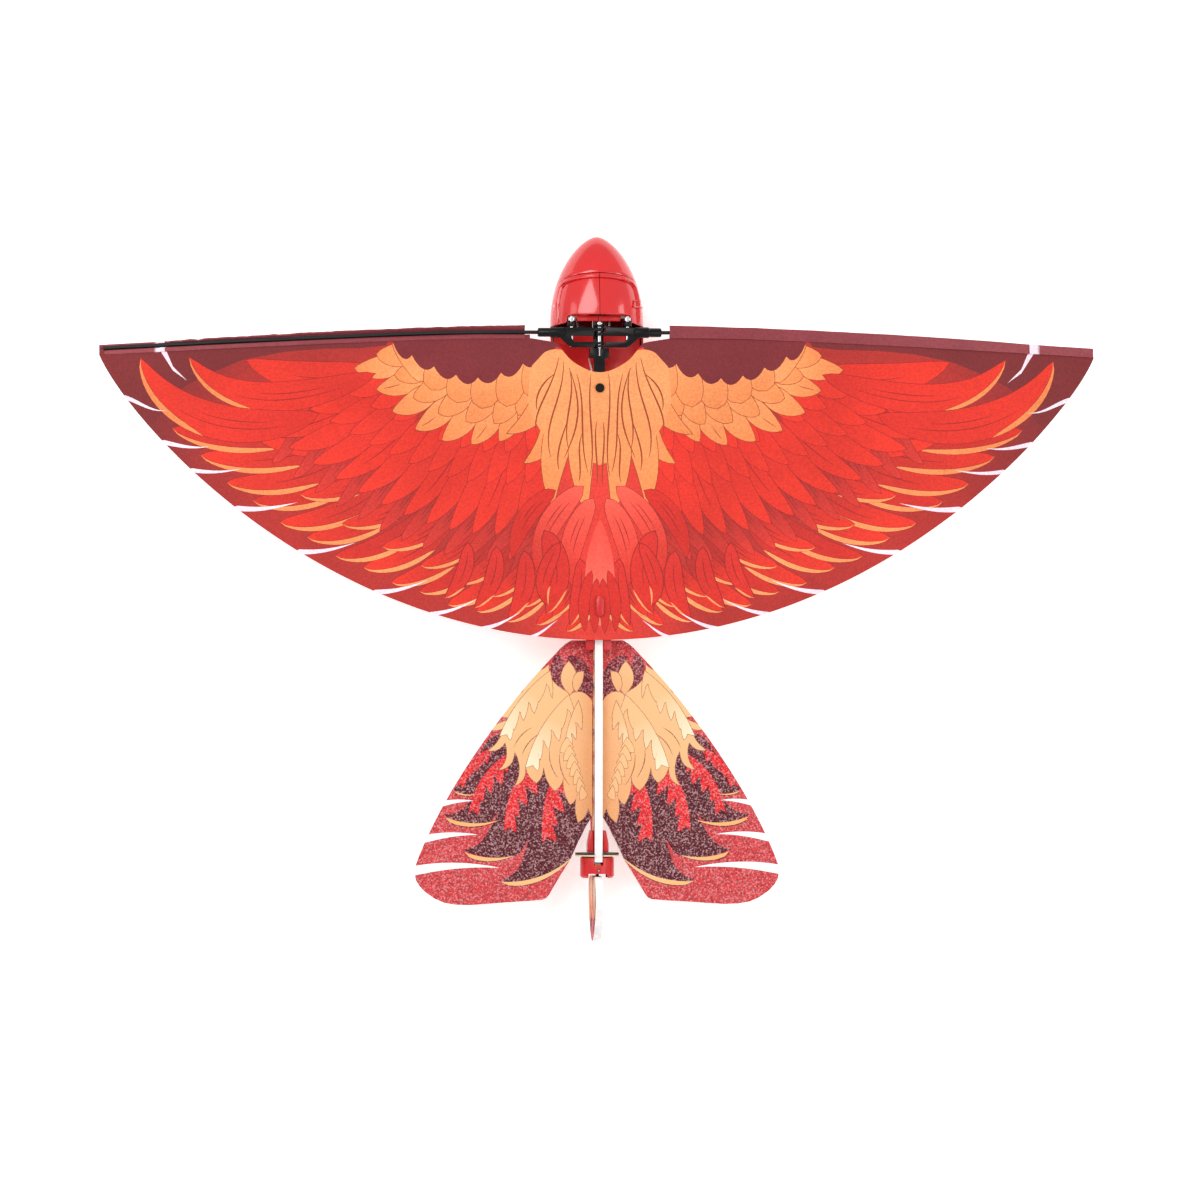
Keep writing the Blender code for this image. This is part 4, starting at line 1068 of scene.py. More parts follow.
def shell_point(y, angle, depth=0.0):
    """Point on the shell, depth below its surface."""
    width = width_at(y)
    cosine = math.cos(angle)
    reach = (SHELL_DOWN if cosine > 0 else SHELL_UP) * (width / SHELL_HALF_W)
    z = SHELL_CENTRE_Z - max(reach - depth, 0.05) * cosine
    return Vector((max(width - depth, 0.05) * math.sin(angle), y, max(z, BELLY_Z + depth)))


def angle_at_x(y, x):
    """Angle on the upper shell above x."""
    return math.pi - math.asin(max(0.0, min(1.0, x / width_at(y))))


def upper_point(y, x, depth):
    return shell_point(y, angle_at_x(y, x), depth)


def rim_angle(y):
    """Angle at which the shell stops at the opening."""
    if y >= OPEN_Y:
        return math.pi
    x = OPEN_HALF_W
    if y > OPEN_Y - OPEN_CORNER_R:
        rest = 1 - (OPEN_Y - y) / OPEN_CORNER_R
        x = OPEN_HALF_W - OPEN_CORNER_R * (1 - math.sqrt(max(0.0, 1 - rest ** 2)))
    top = angle_at_x(y, x)
    rise = (RIM_Z - SHELL_CENTRE_Z) / (SHELL_UP * (width_at(y) / SHELL_HALF_W))
    low = math.pi / 2 + math.asin(max(-1, min(1, rise)))
    t = max(0.0, min(1.0, (6.1 - y) / 2.2))
    return top + (low - top) * t * t * (3 - 2 * t)


def edge_y(angle):
    """Rear edge of the nose cap."""
    return CAP_EDGE_Y + 7.0 * max(0.0, -math.cos(angle)) ** 0.8


def canopy_limit(y):
    """Half width of the recessed canopy."""
    return min(20.7, width_at(y) - 1.9)


# lead ahead of the cap edge, depth
SHELL_COLLAR = ((2.6, 1.2), (1.2, 1.2), (-0.30, 1.2), (-0.36, 0.5), (-0.45, 0.12), (-0.75, 0.0),
                (-1.9, 0.0), (-2.15, 0.12), (-2.4, 0.8), (-2.7, 1.0))
# stations round and behind the front of the opening
SHELL_STATIONS = (
    OPEN_Y + 0.5, OPEN_Y + 0.05, OPEN_Y - 0.02, 9.9, 9.7, 9.4, 9.0, 8.6, 8.2, 7.8, 7.4, 7.0, 6.6,
    6.2, 5.9, 5.6, 5.3, 5.0, 4.7, 4.4, 4.1, 3.9, 2.0, 0, -3, -6, -9, -12, -15, -18, -22, -26,
    -30, -34, -38, -42, -45, -47.5, TAIL_END_Y)
# belly openings: x, y and z ranges
BELLY_CUTS = {"left": (-7.6, -2.4, -6, 0, -40, -34), "right": (2, 6, -7, 3, -40, -34)}


def shell_rows():
    """Rows along the shell: a function from angle to y, and a depth."""
    rows = [(lambda a, lead=lead: edge_y(a) + lead, depth) for lead, depth in SHELL_COLLAR]
    rows += [(lambda a, s=1 - k / 15: OPEN_Y + (edge_y(a) - 2.7 - OPEN_Y) * s, 1.0)
             for k in range(1, 15)]
    rows += [(lambda a, y=y: y, 1.0 if y > 4 else 0.0) for y in SHELL_STATIONS]
    return rows


def canopy_dip(y, angle, depth, behind_collar):
    """Depth at one point: the canopy sits a clear step below the rims beside it."""
    x = width_at(y) * math.sin(angle)
    limit = canopy_limit(y)
    above = angle > math.pi / 2
    if depth >= 0.8:
        step = smoothstep(limit + 0.12, limit - 0.28, x) if above else 0.0
        full = 0.95 * depth + 0.15 * max(0.0, -math.cos(angle))
        dip = full * step * smoothstep(-7.0, 1.0, y)
        return dip * 0.8 if depth == 0.8 else dip
    if depth == 0.12 and behind_collar:
        return 0.12 if x < limit and above else 0.0
    return depth


def shell_skin():
    outer, inner = [], []
    fine = (0.012, 0.025, 0.045, 0.07)       # columns bunched at the canopy's step
    for y_of, depth in shell_rows():
        top_y = y_of(math.pi)
        top = rim_angle(top_y)
        step_angle = angle_at_x(min(top_y, y_of(2.0)), canopy_limit(y_of(2.0)))
        step_angle = min(step_angle, top - 0.10)
        angles = list(np.linspace(0, step_angle - 0.10, 22))
        angles += [step_angle - d for d in fine[::-1]] + [step_angle + d for d in (0.0, *fine)]
        angles = [a for a in angles if a < top - 0.02]
        angles += list(np.linspace(angles[-1], top, 52 - len(angles) + 1)[1:])
        outer_row, inner_row = [], []
        for angle in angles:
            y = y_of(angle)
            dip = canopy_dip(y, angle, depth, behind_collar=y_of(0.0) < CAP_EDGE_Y - 2)
            wall = max(dip + 0.8, 1.2)
            if top_y < OPEN_Y - 0.05:
                # thin wall at the opening
                wall += (dip + 0.45 - wall) * smoothstep(top - 0.10, top - 0.01, angle)
            for row, at in ((outer_row, dip), (inner_row, wall)):
                point = shell_point(y, angle, at)
                point.x = max(point.x, 0.13)
                row.append(point)
        outer.append(outer_row)
        inner.append(inner_row)
    return patch_solid(outer, inner)


def opening_rim():
    """Rolled bead round the opening."""
    front = [shell_point(OPEN_Y + 0.10, angle_at_x(OPEN_Y, x), 1.05)
             for x in (0.3, 2, 4, 6, 8, 10, 12, 13.0)]
    front.append(shell_point(OPEN_Y - 0.06, angle_at_x(OPEN_Y, 14.2), 0.98))
    for depth, stations in (
            (0.80, (9.6, 9.2, 8.8, 8.3, 7.8, 7.2, 6.6, 6.1)),
            (0.60, (5.7, 5.3, 4.9, 4.5, 4.2, 3.9, 3.0, 0, -4, -8, -12, -16, -20, -24))):
        front += [shell_point(y, rim_angle(y) - 0.012, depth) for y in stations]
    return tube(front, 0.36)


def canopy_lip():
    """Raised lip across under the cap edge, then back along the side of the canopy."""
    path = []
    for x in np.linspace(0.3, 17.5, 16):
        y = 28.6
        for _ in range(6):
            angle = angle_at_x(y, min(x, width_at(y) * 0.999))
            y = edge_y(angle) - 2.15
        path.append(shell_point(y, angle, -0.02))
    corner_y = path[-1].y
    for t in np.linspace(0, 1, 7)[1:]:
        y = corner_y - 2.6 * t
        x = 17.5 + (canopy_limit(y) + 0.25 - 17.5) * math.sin(t * math.pi / 2)
        path.append(upper_point(y, x, -0.02))
    side_y = path[-1].y
    for t in np.linspace(0, 1, 24)[1:]:
        y = side_y + (6.6 - side_y) * t
        path.append(upper_point(y, canopy_limit(y) + 0.25, -0.02))
    return tube(path, lambda t: 0.40 * min(1.0, 0.2 + 9 * (1 - t)))


def rim_tab():
    """The three beads of a small tab across the right-hand rim."""
    for y, x0, x1, radius in ((16.9, 18.6, 21.9, 0.36), (13.8, 17.8, 22.7, 0.55)):
        xs = [x0 + (x1 - x0) * k / 8 for k in range(9)]
        yield tube([upper_point(y, x, 0.0 if x > 20.7 else 0.55) for x in xs], radius)
    yield tube([upper_point(16.9 - 3.1 * k / 5, 18.4 - 0.3 * k / 5, 0.7) for k in range(6)],
               0.34)


def moulded_shell(side, tag):
    verts, faces = shell_skin()
    join(verts, faces, opening_rim())
    join(verts, faces, canopy_lip())
    if side > 0:
        for bead in rim_tab():
            join(verts, faces, bead)
    obj = solid_object("shell_%s_moulded" % tag, flip(verts, side), faces, GLOSS_RED)
    carve(obj, block(*BELLY_CUTS[tag]))
    settle(obj, "body", ("shell_" + tag,), "shell_red")


def nose_row(share, depth, seg):
    row = []
    for k in range(seg):
        angle = 2 * math.pi * k / seg
        start = edge_y(angle)
        y = start + (NOSE_Y - 0.4 - depth - start) * math.sin(share * math.pi / 2)
        lip = edge = 0.0
        if depth == 0:
            edge = 0.25 * math.exp(-((y - start) / 0.22) ** 2)
            if -math.cos(angle) > -0.4:
                lip = 0.16 * math.exp(-((y - start - 0.7) / 0.5) ** 2)
        folded = angle if angle <= math.pi else 2 * math.pi - angle
        point = shell_point(y, folded, depth + edge - lip)
        row.append(Vector((point.x if angle <= math.pi else -point.x, y, point.z)))
    return row


def moulded_nose():
    seg, rows = 84, 34
    m = rows * seg
    verts, faces = [], []
    for depth in (0.0, 0.9):
        for i in range(rows):
            verts += nose_row(i / (rows - 0.2), depth, seg)
    verts += [Vector((0, NOSE_Y, SHELL_CENTRE_Z)), Vector((0, NOSE_Y - 1.3, SHELL_CENTRE_Z))]
    # outer skin, then inner skin facing the other way, each closed by a fan at the tip
    for first, turn, tip in ((0, 1, 2 * m), (m, -1, 2 * m + 1)):
        for i in range(rows - 1):
            a = first + i * seg
            for k in range(seg):
                k2 = (k + 1) % seg
                faces.append((a + k, a + k2, a + seg + k2, a + seg + k)[::turn])
        a = first + (rows - 1) * seg
        for k in range(seg):
            faces.append((a + k, a + (k + 1) % seg, tip)[::turn])
    for k in range(seg):
        k2 = (k + 1) % seg
        faces.append((k2, k, m + k, m + k2))
    obj = solid_object("nose_cap_moulded", verts, faces, GLOSS_RED)
    settle(obj, "body", ("nose_cap",), "shell_red")


for side, tag in SIDES:
    moulded_shell(side, tag)
moulded_nose()


def deck(side, tag):
    """Floor of the opening: a bowl that rises to the rim."""
    top, bottom = [], []
    for y in np.linspace(2.6, -30, 30):
        width = width_at(y) - 1.9
        row = []
        for u in np.linspace(0, 1, 26):
            x = 0.15 + (width - 0.15) * math.sin(u * math.pi / 2)
            z = (-18.6 + 4.9 * (x / width) ** 2.6
                 + 2.2 * smoothstep(-8, -24, y) * (1 - (x / width) ** 2))
            lip = 3.6 * math.exp(-((y - 2.6) / 1.1) ** 2) * (1 - (x / width) ** 4)
            row.append((x, z + lip))
        top.append([Vector((x, y, z)) for x, z in row])
        bottom.append([Vector((x, y, z - 0.9)) for x, z in row])
    verts, faces = patch_solid(top, bottom)
    # the floor's red is painted lighter than the shell's, as painted light against the shade in the
    # opening
    obj = solid_object("shell_floor_" + tag, flip(verts, side), faces, SATIN_RED_PAINTED_LIGHT)
    settle(obj, "body", slot="shell_red")


def gear_guard(side, tag):
    """Arched guard over one crank gear, with a narrower raised shelf behind it."""
    verts, faces = [], []
    for back, front, reach, shelf in ((9.2, 12.85, 20.6, False), (6.65, 9.35, 10.9, True)):
        top, bottom = [], []
        for y in (back, back + 0.25, (back + front) / 2, front - 0.25, front):
            round_off = 0.12 if y in (back, front) else 0.0
            top_row, bottom_row = [], []
            for j in range(27):
                x = 0.15 + (reach - 0.15) * j / 26
                z = -16.3 + math.sqrt(max(0.5, 11.6 ** 2 - min(abs(x - 10.5), 11.4) ** 2))
                if shelf:
                    z = max(z, -5.6) + 0.5
                top_row.append(Vector((x, y, z - round_off)))
                bottom_row.append(Vector((x, y, z - 0.6 + round_off)))
            top.append(top_row)
            bottom.append(bottom_row)
        join(verts, faces, patch_solid(top, bottom))
    # the guard's red is painted lighter than the shell's, as painted light against the shade in the
    # opening
    obj = solid_object("gear_guard_" + tag, flip(verts, side), faces, SATIN_RED_PAINTED_LIGHT)
    settle(obj, "body", slot="shell_red")


for side, tag in SIDES:
    deck(side, tag)
    gear_guard(side, tag)

SCREW_Y = 13.9
SCREW_ROWS = ((-11.0, "upper"), (-24.0, "lower"))
SLOT_LENGTH, SLOT_WIDTH = 0.95, 0.16    # half sizes of the cross recess


def shell_screw(side, tag, z, where):
    """Sunk screw: domed head with a cross recess, threaded shank, plain point."""
    reach = SHELL_UP if z > SHELL_CENTRE_Z else SHELL_DOWN
    angle = math.pi / 2 + math.asin((z - SHELL_CENTRE_Z) / reach)
    head_x = shell_point(SCREW_Y, angle).x - 0.3
    profile = [(0.0, 0.9), (0.12, 1.35), (0.35, 1.62), (0.7, 1.7), (0.95, 1.6), (1.1, 0.9)]
    t = 1.3
    while t < head_x - 17.6:
        profile += [(t, 0.92), (t + 0.22, 0.72)]
        t += 0.45
    profile += [(head_x - 17.4, 0.45), (head_x - 13.7, 0.4)]
    verts, faces = lathe((side * head_x, SCREW_Y, z), (-side, 0, 0), profile, seg=28)
    obj = solid_object("screw_%s_%s" % (tag, where), verts, faces, STEEL)
    x0, x1 = sorted((side * (head_x + 0.2), side * (head_x - 0.55)))
    carve(obj, *[block(x0, x1, SCREW_Y - half_y, SCREW_Y + half_y, z - half_z, z + half_z)
                 for half_y, half_z in ((SLOT_LENGTH, SLOT_WIDTH), (SLOT_WIDTH, SLOT_LENGTH))])
    settle(obj, "body", ("shell_screw_%s_%s" % (tag, where),), "pin_steel")


for side, tag in SIDES:
    for z, where in SCREW_ROWS:
        shell_screw(side, tag, z, where)


# ------------------------------------------------------------------ softened plain pieces
def soften(node, body, material, slot, width):
    """Copy of a plain node with rounded edges."""
    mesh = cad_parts[node].data.copy()
    edit = bmesh.new()
    edit.from_mesh(mesh)
    bmesh.ops.remove_doubles(edit, verts=edit.verts[:], dist=1e-6)
    bmesh.ops.dissolve_limit(edit, angle_limit=math.radians(0.6), verts=edit.verts[:],
                             edges=edit.edges[:])
    edit.to_mesh(mesh)
    edit.free()
    mesh.materials.clear()
    mesh.materials.append(material)
    obj = add_object(node + "_moulded", mesh)
    bevel(obj, width, angle=38, name="soft")
    bake_modifiers(obj)
    shade(obj.data, 42)
    settle(obj, body, (node,), slot)


# node, body it rides, material, slot, bevel width
for spec in (("lever_left", "wing_left", BLACK, "nylon_black", 0.5),
             ("lever_right", "wing_right", BLACK, "nylon_black", 0.5),
             ("gearbox_frame", "body", BLACK, "nylon_black", 0.3),
             ("con_rod_left", "rod_left", BLACK, "nylon_black", 0.3),
             ("con_rod_right", "rod_right", BLACK, "nylon_black", 0.3),
             ("tail_bracket", "body", MOULDED_RED, "shell_red", 0.35),
             ("actuator_mount", "body", MOULDED_RED, "shell_red", 0.35),
             ("actuator_cup", "body", MOULDED_RED, "shell_red", 0.25),
             ("battery_cell", "body", FOIL, "battery_foil", 0.5),
             ("switch_knob", "switch", BLACK, "nylon_black", 0.25),
             ("switch_body", "body", BLACK, "nylon_black", 0.2),
             ("charge_socket", "body", CONNECTOR, "connector_white", 0.2),
             ("rudder_carrier", "rudder", BLACK, "nylon_black", 0.12)):
    soften(*spec)


# ------------------------------------------------------------------ cloth wing
WING_PRINT = cloth_layers()


def wing_sheet(side, tag):
    layers = WING_PRINT if side > 0 else mirror(WING_PRINT)
    obj = print_sheet("wing_sheet_" + tag, cloth_outline(side), cloth_base, layers,
                      cloth_height(side), thick=0.35, step=6.0, rim=srgb(214, 150, 140),
                      under=0.82)
    obj.data.materials.append(CLOTH)
    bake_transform(obj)
    # the left sheet also stands in for the middle piece
    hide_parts("wing_cloth_" + tag, *(["wing_cloth_mid"] if tag == "left" else []))


for side, tag in SIDES:
    wing_sheet(side, tag)


# ------------------------------------------------------------------ hem pieces
HEM_X = list(np.concatenate([np.arange(35.2, 217, 2.2), [217.1, 217.15, 219, 220.85, 220.9],
                             np.arange(222.5, 250, 1.5), [249.4]]))
LEFT_HEM_X = [x for x in HEM_X if x > 36.5]


def hem_colour(points):
    x = np.abs(points[:, 0])
    t = smoothstep(60, 240, x)[:, None]
    colour = srgb(132, 52, 60) * (1 - t) + srgb(148, 68, 74) * t
    return np.where((np.abs(x - 219.0) < 1.9)[:, None], WHITE, colour)


def wobble(x, seed, rate=0.11):
    return noise.noise(Vector((x * rate, seed * 7.3, 0.4)))


# Sections are closed (distance ahead of the rod line, z) outlines.
def right_flap(x):
    """Cloth folded over the rod: flat lip ahead, bulge over the rod, standing edge behind."""
    lip = front_edge_y(x) - spar_y(x) + 0.15 * wobble(x, 1)
    rod = 1.55
    back = -2.9 - 0.12 * wobble(x, 2, 0.2)
    return [(lip, 0.45), (lip - 0.9, 0.75), (1.7, 1.0), (0.9, rod + 0.02), (0.0, rod + 0.25),
            (-0.9, rod + 0.15), (-1.7, 1.9 + 0.12 * wobble(x, 3, 0.3)), (back, 2.2),
            (back + 0.05, 1.75), (-1.6, 1.35), (-0.9, 1.25), (0.0, 1.3), (0.9, 1.15),
            (1.7, 0.55), (lip - 0.9, 0.3), (lip, 0.1)]


def left_lip(x):
    """The open hem: its front flap runs under the rod."""
    lip = front_edge_y(x) - spar_y(x) + 0.28 * wobble(x, 5, 0.35)
    lip += 0.35 * wobble(x, 9, 1.1) if x > 150 else 0
    return [(lip, 0.2), (lip - 0.8, 0.0), (1.8, -0.6), (1.0, -1.15), (0.0, -1.35),
            (-1.0, -1.25), (-2.2, -0.7), (-3.0, 0.6), (-3.2, 0.35), (-2.3, -1.05),
            (-1.0, -1.65), (0.0, -1.75), (1.0, -1.55), (1.8, -0.95), (lip - 0.8, -0.4),
            (lip, -0.15)]


def left_fold(x):
    """Roll of cloth lying behind the rod."""
    width = 2.1 + 0.15 * wobble(x, 11, 0.2)
    return [(-1.15, 0.6), (-1.35, 1.3), (-1.9, 1.85), (-2.5, 2.1),
            (-1.15 - width, 2.05 + 0.12 * wobble(x, 13, 0.3)), (-1.35 - width, 1.75),
            (-1.2 - width, 1.55), (-2.5, 1.5), (-1.9, 1.2), (-1.5, 0.5)]


def hem_strip(name, side, xs, section):
    """Sweep a section along the rod."""
    verts, faces = [], []
    for x in xs:
        outline = section(x)
        rod_y = float(spar_y(x))
        verts += [((side * x + HINGE[0]) * MM, (rod_y + ahead + HINGE[1]) * MM,
                   (z + HINGE[2]) * MM) for ahead, z in outline]
    k, last = len(outline), len(xs) - 1
    for i in range(last):
        for j in range(k):
            j2 = (j + 1) % k
            quad = (i * k + j, i * k + j2, (i + 1) * k + j2, (i + 1) * k + j)
            faces.append(quad[::side])
    faces.append(tuple(range(k))[::-side])
    faces.append(tuple(last * k + j for j in range(k))[::side])
    mesh = bpy.data.meshes.new(name)
    mesh.from_pydata(verts, [], faces)
    edit = bmesh.new()
    edit.from_mesh(mesh)
    bmesh.ops.recalc_face_normals(edit, faces=edit.faces[:])
    edit.to_mesh(mesh)
    edit.free()
    places = np.zeros(len(mesh.vertices) * 3)
    mesh.vertices.foreach_get("co", places)
    corners = np.zeros(len(mesh.loops), int)
    mesh.loops.foreach_get("vertex_index", corners)
    set_print(mesh, hem_colour(places.reshape(-1, 3)[corners] / MM - HINGE))
    shade(mesh, 50)
    mesh.materials.append(CLOTH)
    settle(add_object(name, mesh), "wing_right" if side > 0 else "wing_left",
           slot="wing_cloth")


hem_strip("hem_flap_right", 1, HEM_X, right_flap)
hem_strip("hem_lip_left", -1, LEFT_HEM_X, left_lip)
hem_strip("hem_fold_left", -1, LEFT_HEM_X, left_fold)


# ------------------------------------------------------------------ tail plane
TAIL_Z, TAIL_THICK = -13.0, 3.0
# right half, (x, y)
TAIL_OUTLINE = (
    (2.3, -153.2), (9, -153.2), (13.0, -153.2), (15.8, -154.9), (18.5, -157.2), (26, -165.2),
    (34, -174), (41.5, -183), (48.5, -192), (55.2, -201), (61.5, -210), (67.4, -219),
    (73.0, -228), (78.1, -237), (82.8, -246), (86.8, -254.5), (89.8, -261.6), (91.3, -265.8),
    (91.8, -269.5), (91.3, -273.0), (89.6, -276.0), (86.8, -279.0), (82, -282.4), (77, -284.6),
    (71, -285.6), (64, -285.8), (56, -285.3), (47, -284.6), (35, -283.9), (27.5, -283.3),
    (25.6, -282.4), (24.2, -280.6), (18.5, -271), (13.5, -263), (10.0, -255.0), (7.6, -250.5),
    (6.0, -247), (2.3, -241))

# dark leaves that sweep down and outwards to long points: (x, y, bow)
DARK_LEAVES = (
    [(2.3, -214, 0), (2.3, -243, 0), (9.5, -258.5, -0.06), (27, -273.5, -0.12),
     (49, -273.2, 0.16), (37, -261, 0.05), (33, -238, 0.0), (22, -214, 0.0)],
    [(18, -216, 0), (30, -246, 0), (39, -260, -0.10), (52, -262, -0.06), (67.5, -258.2, 0.14),
     (54.5, -248, 0.06), (46, -226, 0), (34, -210, 0)],
    [(34, -210, 0), (47, -236, 0.0), (53, -243.5, -0.08), (65, -244.6, -0.06),
     (77.4, -240.5, 0.12), (66, -236, 0.05), (60, -226, 0), (50, -206, 0)],
    [(46, -206, 0), (57, -226, 0.0), (64, -230.6, -0.08), (72.4, -227.8, 0.08),
     (65, -217, 0.02), (55.0, -203, 0.0), (50, -200, 0)])
# red patches between them
RED_PATCHES = (
    [(52, -208, 0.04), (75, -224, 0.05), (60, -218, 0)],
    [(63, -232.5, 0.06), (78, -237, 0.02), (67, -234.5, 0)])
# one peach mass with hooked points down the outer side and along the bottom
PEACH_MASS = [
    (2.3, -184, 0.10), (7.5, -179, 0.12), (13.5, -180, 0.0), (17.5, -177.5, -0.16),
    (24.2, -164.6, -0.10), (31, -168.5, 0.03), (38, -179, 0.07), (51, -190.3, 0.14),
    (38.5, -190.6, 0.03), (55, -197.2, 0.16), (47.5, -197.6, -0.10), (55.5, -208.5, 0.18),
    (46.5, -205, -0.16), (50, -218.5, 0.22), (41.5, -209.5, -0.14), (42, -226.5, 0.20),
    (36, -217.5, 0.12), (30.5, -225, 0.12), (27.0, -217.5, 0.10), (21.5, -229, 0.16),
    (17.0, -220.5, 0.10), (13.8, -236, 0.16), (9.5, -228, 0.10), (9.8, -245, 0.12),
    (4.6, -238, 0.04), (2.3, -243, 0.0)]


def dark_leaves(layers):
    for corners in DARK_LEAVES:
        layers.append((arcs(corners), flat(FOAM_DARK)))
    for root, tip, width, bend in (((15, -161), (6, -186), 5.0, -0.25),
                                   ((20, -160), (17.5, -180), 3.4, 0.1)):
        layers.append((leaf(root, tip, width, bend, (0.6, 0.8)), flat(srgb(128, 36, 50))))
    for corners in RED_PATCHES:
        layers.append((arcs(corners), flat(FOAM_RED)))
    # bright barbed leaves: root, tip, bend, width, barbs, reach
    for spec in (((17, -214), (27.5, -255), 0.10, 2.8, 5, 14.5),
                 ((31, -212), (47, -249.5), 0.12, 3.0, 5, 13.0),
                 ((45, -210), (65, -240.0), 0.12, 2.6, 5, 10.5),
                 ((54, -207), (70.5, -227.0), 0.10, 2.0, 4, 6.0)):
        outlined(layers, barbed(*spec, body=0.32), FOAM_BRIGHT, srgb(150, 26, 36), 0.25)


def peach_flames(layers):
    shadow = srgb(232, 168, 112)
    outlined(layers, arcs(PEACH_MASS), gradient(FOAM_PEACH, shadow, (40, -180), (6, -236)),
             FOAM_LINE, 0.3)
    # two leaf shapes at the top
    for corners in ([(13.6, -181, 0.22), (14.4, -163.2, 0.26)],
                    [(10.5, -179.5, 0.10), (6.6, -168.5, 0.24), (12.5, -173.5, 0.15)]):
        outlined(layers, arcs(corners), gradient(FOAM_PEACH, shadow, (12, -166), (12, -184)),
                 FOAM_LINE, 0.28)
    # pale barbed flames inside the mass: root, tip, bend, width, barbs, reach
    for spec in (((23.5, -168), (49.5, -201.5), 0.13, 0.5, 6, 13.0),
                 ((14.0, -180), (36.5, -217.5), 0.14, 0.5, 6, 14.5),
                 ((9.5, -183), (17.0, -214), 0.10, 0.5, 5, 8.5)):
        root, tip = np.array(spec[0]), np.array(spec[1])
        fill = gradient(FOAM_PEACH, FOAM_CREAM, root * 0.65 + tip * 0.35,
                        tip * 0.95 + root * 0.05)
        outlined(layers, barbed(*spec, lean=0.8), fill, FOAM_LINE)
    # short curved lines
    for root, tip, bend in (((29, -200), (38, -211), 0.2), ((33, -197), (42, -207), 0.2),
                            ((20, -222), (24, -208), -0.2), ((14, -226), (19, -210), -0.2)):
        root, tip = np.array(root, float), np.array(tip, float)
        mid = (root + tip) / 2 + across(tip - root) * bend
        layers.append((stroke(quadratic(root, mid, tip, np.linspace(0, 1, 10)), 0.24),
                       flat(FOAM_LINE)))
    # a row of small scales
    for k in range(7):
        x, y = 12.5 - 1.2 * k, -206.0 - 4.0 * k
        scale = arcs([(x + 2.5, y + 4.5, 0.10), (x + 6.5 - 0.5 * k, y - 3.6, 0.16),
                      (x - 0.6, y - 0.6, 0.0)])
        outlined(layers, scale, FOAM_PEACH, FOAM_LINE, 0.22)


def tail_edges(layers):
    # light edges under the dark leaves, each over a dark shadow
    for spec in (((48.6, -274.2), (11.0, -260.5), 8.6, 3.1),
                 ((66.5, -259.4), (41.5, -261), 3.8, 2.7),
                 ((76.5, -241.8), (49, -243.2), 4.6, 2.6),
                 ((72, -228.8), (60, -230.2), 1.6, 1.0)):
        moon = crescent(*spec, skew=0.5)
        layers.append((moon + np.array([0.2, -0.45]), flat(srgb(90, 34, 44))))
        layers.append((moon, gradient(srgb(240, 172, 104), FOAM_PEACH, (75, -262),
                                      (12, -262))))
    # white slits beyond them
    for root, tip, width in (((80, -235.6), (62, -233.6), 1.3),
                             ((89.0, -253.2), (60, -250.6), 1.8),
                             ((95.5, -269.2), (49, -267.2), 2.3)):
        layers.append((leaf(root, tip, width, -0.09, (0.1, 0.95), count=16),
                       flat(srgb(246, 242, 242))))


def tail_layers():
    layers = []
    dark_leaves(layers)
    peach_flames(layers)
    tail_edges(layers)
    return layers


def foam_piece(name, outline, layers, top, thick, step, rounding, body, node, upright=False):
    """Foam plate printed on both faces with rounded pale edges.
    An upright one is drawn in (y, z) and stood on edge."""
    obj = print_sheet(name, outline, flat(FOAM_RED), layers,
                      lambda x, y: np.full(len(x), top), thick, step,
                      origin=np.zeros(3) if upright else HINGE)
    mesh = obj.data
    mesh.materials.append(FOAM)
    mesh.materials.append(FOAM_EDGE)
    normals = np.zeros(len(mesh.polygons) * 3)
    mesh.polygons.foreach_get("normal", normals)
    is_edge = np.abs(normals.reshape(-1, 3)[:, 2]) < 0.5
    mesh.polygons.foreach_set("material_index", is_edge.astype(np.int32))
    if upright:
        # drawn (y, z, x) becomes (x, y, z)
        turn = Matrix(((0, 0, 1, 0), (1, 0, 0, 0), (0, 1, 0, 0), (0, 0, 0, 1)))
        mesh.transform(Matrix.Translation(Vector(HINGE * MM)) @ turn)
    bevel(obj, rounding, angle=60, name="round")
    settle(obj, body, (node,), "tail_foam")


TAIL_PRINT = tail_layers()
for side, tag in SIDES:
    foam_piece("tail_plane_" + tag, for_side(TAIL_OUTLINE, side),
               TAIL_PRINT if side > 0 else mirror(TAIL_PRINT), top=TAIL_Z + TAIL_THICK / 2,
               thick=TAIL_THICK, step=9.0, rounding=0.45, body="body",
               node="tail_foam_" + tag)


# ------------------------------------------------------------------ keel and rudder, in (y, z)
FIN_HALF_THICK = 2.0
KEEL_OUTLINE = (
    (-146, -3.4), (-165, -3.4), (-200, -3.7), (-250, -4.2), (-264.4, -5.0), (-264.4, -11.6),
    (-256.5, -11.6), (-256.5, -24.0), (-251, -26.0), (-245, -27.5), (-235, -29.2),
    (-225, -30.0), (-212, -30.0), (-200, -29.0), (-187, -27.0), (-175, -24.0), (-166, -20.6),
    (-158, -17.0), (-146, -10.0))
RUDDER_OUTLINE = (
    (-271.7, -4.0), (-272.6, -2.6), (-274, -1.5), (-277, 0.2), (-280, 1.2), (-283.5, 1.5),
    (-287, 1.0), (-290.8, -0.4), (-294, -2.5), (-297.2, -5.0), (-300, -8.0), (-302.2, -11.0),
    (-303.8, -14.0), (-304.5, -18.5), (-304.2, -21.2), (-303.2, -23.5), (-301, -27.0),
    (-298, -30.0), (-294.6, -32.8), (-291, -34.8), (-287, -36.3), (-283, -37.0),
    (-279.5, -37.1), (-276, -36.6), (-274.0, -35.4), (-272.8, -34.0), (-271.7, -30.0))


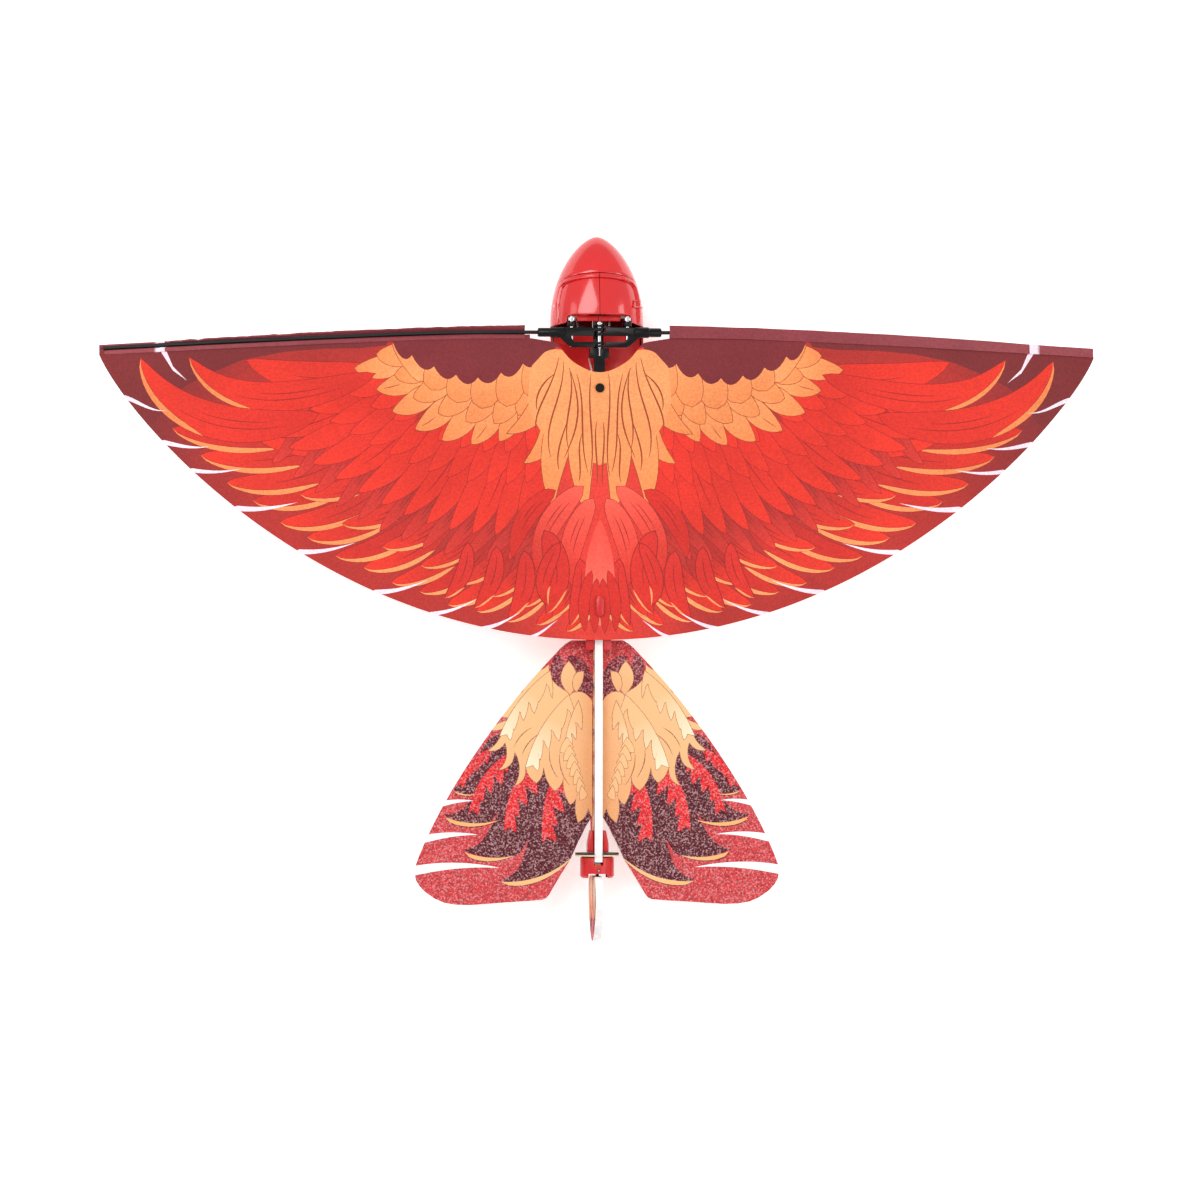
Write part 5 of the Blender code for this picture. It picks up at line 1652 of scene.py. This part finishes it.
def keel_layers():
    layers = []
    for k in range(9):
        y = -152 - 11.5 * k
        z = -6 - 0.4 * k
        layers.append((leaf((y + 12, z - 2), (y - 12, z - 14), 5.0, bend=0.12),
                       flat(FOAM_DARK if k % 2 else FOAM_BRIGHT)))
        outlined(layers, leaf((y + 10, z), (y - 10, z - 8), 3.4, bend=0.10), FOAM_PEACH,
                 FOAM_LINE, 0.3)
        layers.append((leaf((y + 6, z + 1.2), (y - 6, z - 3), 1.6, bend=0.10),
                       flat(FOAM_CREAM)))
    return layers


def rudder_layers():
    layers = []
    for k in range(4):
        z = -6 - 8.0 * k
        layers.append((leaf((-270, z + 3), (-302, z - 5), 6.0, bend=-0.10),
                       flat(FOAM_BRIGHT if k % 2 else FOAM_DARK)))
        outlined(layers, leaf((-270, z + 1), (-294, z - 3), 3.6, bend=-0.10), FOAM_PEACH,
                 FOAM_LINE, 0.3)
        layers.append((leaf((-271, z + 1), (-286, z - 1), 1.8, bend=-0.10), flat(FOAM_CREAM)))
    layers.append((crescent((-300, -28), (-278, -34), 3.0, 1.2), flat(FOAM_PEACH)))
    return layers


for name, outline, layers, body, node in (
        ("keel_plate", KEEL_OUTLINE, keel_layers(), "body", "keel_foam"),
        ("rudder_plate", RUDDER_OUTLINE, rudder_layers(), "rudder", "rudder_foam")):
    foam_piece(name, np.array(outline, float), layers, top=FIN_HALF_THICK,
               thick=2 * FIN_HALF_THICK, step=5.0, rounding=0.35, body=body, node=node,
               upright=True)


# ------------------------------------------------------------------ floor, light, camera (m)
def paper_floor(half, z):
    mesh = bpy.data.meshes.new("floor")
    mesh.from_pydata([(-half, -half, z), (half, -half, z), (half, half, z), (-half, half, z)],
                     [], [(0, 1, 2, 3)])
    obj = add_object("floor", mesh)
    surface = Surface("floor_paper")
    mesh.materials.append(surface.finish(
        Base_Color=surface.grey_ramp(surface.noise(3, detail=2), 0.94, 0.96), Roughness=0.9,
        Specular_IOR_Level=0.1, Emission_Color=(1, 1, 1), Emission_Strength=0.45))


def area_light(name, place, target, size, power):
    light = bpy.data.lights.new(name, "AREA")
    light.shape = "RECTANGLE"
    light.size, light.size_y = size
    light.energy = power
    obj = add_object(name, light)
    obj.location = place
    obj.rotation_mode = "QUATERNION"
    obj.rotation_quaternion = (Vector(target) - Vector(place)).to_track_quat("-Z", "Y")


def add_camera(view_width, lean, aim):
    """Long lens above the bird, leaning towards -X; view_width is what it frames at aim."""
    camera = bpy.data.cameras.new("camera")
    camera.lens = 200
    camera.sensor_width = 36
    camera.clip_start = 0.05
    camera.clip_end = 50
    obj = add_object("camera", camera)
    distance = view_width * camera.lens / camera.sensor_width
    place = aim + Vector((-math.sin(lean), 0, math.cos(lean))) * distance
    obj.matrix_world = Matrix.Translation(place) @ Matrix.Rotation(-lean, 4, "Y")
    bpy.context.scene.camera = obj


paper_floor(half=6.0, z=-0.0002)

world = bpy.data.worlds.new("studio")
bpy.context.scene.world = world
world.use_nodes = True
background = world.node_tree.nodes["Background"]
background.inputs["Color"].default_value = (1.0, 1.0, 1.0, 1)
background.inputs["Strength"].default_value = 0.75

area_light("key", place=(-0.5, 0.5, 1.3), target=(0, -0.1, 0), size=(0.9, 0.7), power=9.0)
area_light("fill", place=(0.9, -0.2, 1.2), target=(0, -0.1, 0), size=(0.9, 0.9), power=4.5)
area_light("side_right", place=(1.02, 0.28, 0.72), target=(0, 0.14, 0.03), size=(0.34, 0.30),
           power=1.1)
area_light("side_left", place=(-1.02, 0.28, 0.72), target=(0, 0.14, 0.03), size=(0.42, 0.34),
           power=0.9)

add_camera(view_width=0.600, lean=math.radians(5.5),
           aim=Vector((0.00025, -0.133, 0.0)) + Vector(HINGE * MM))
bpy.context.scene.view_settings.view_transform = "Standard"
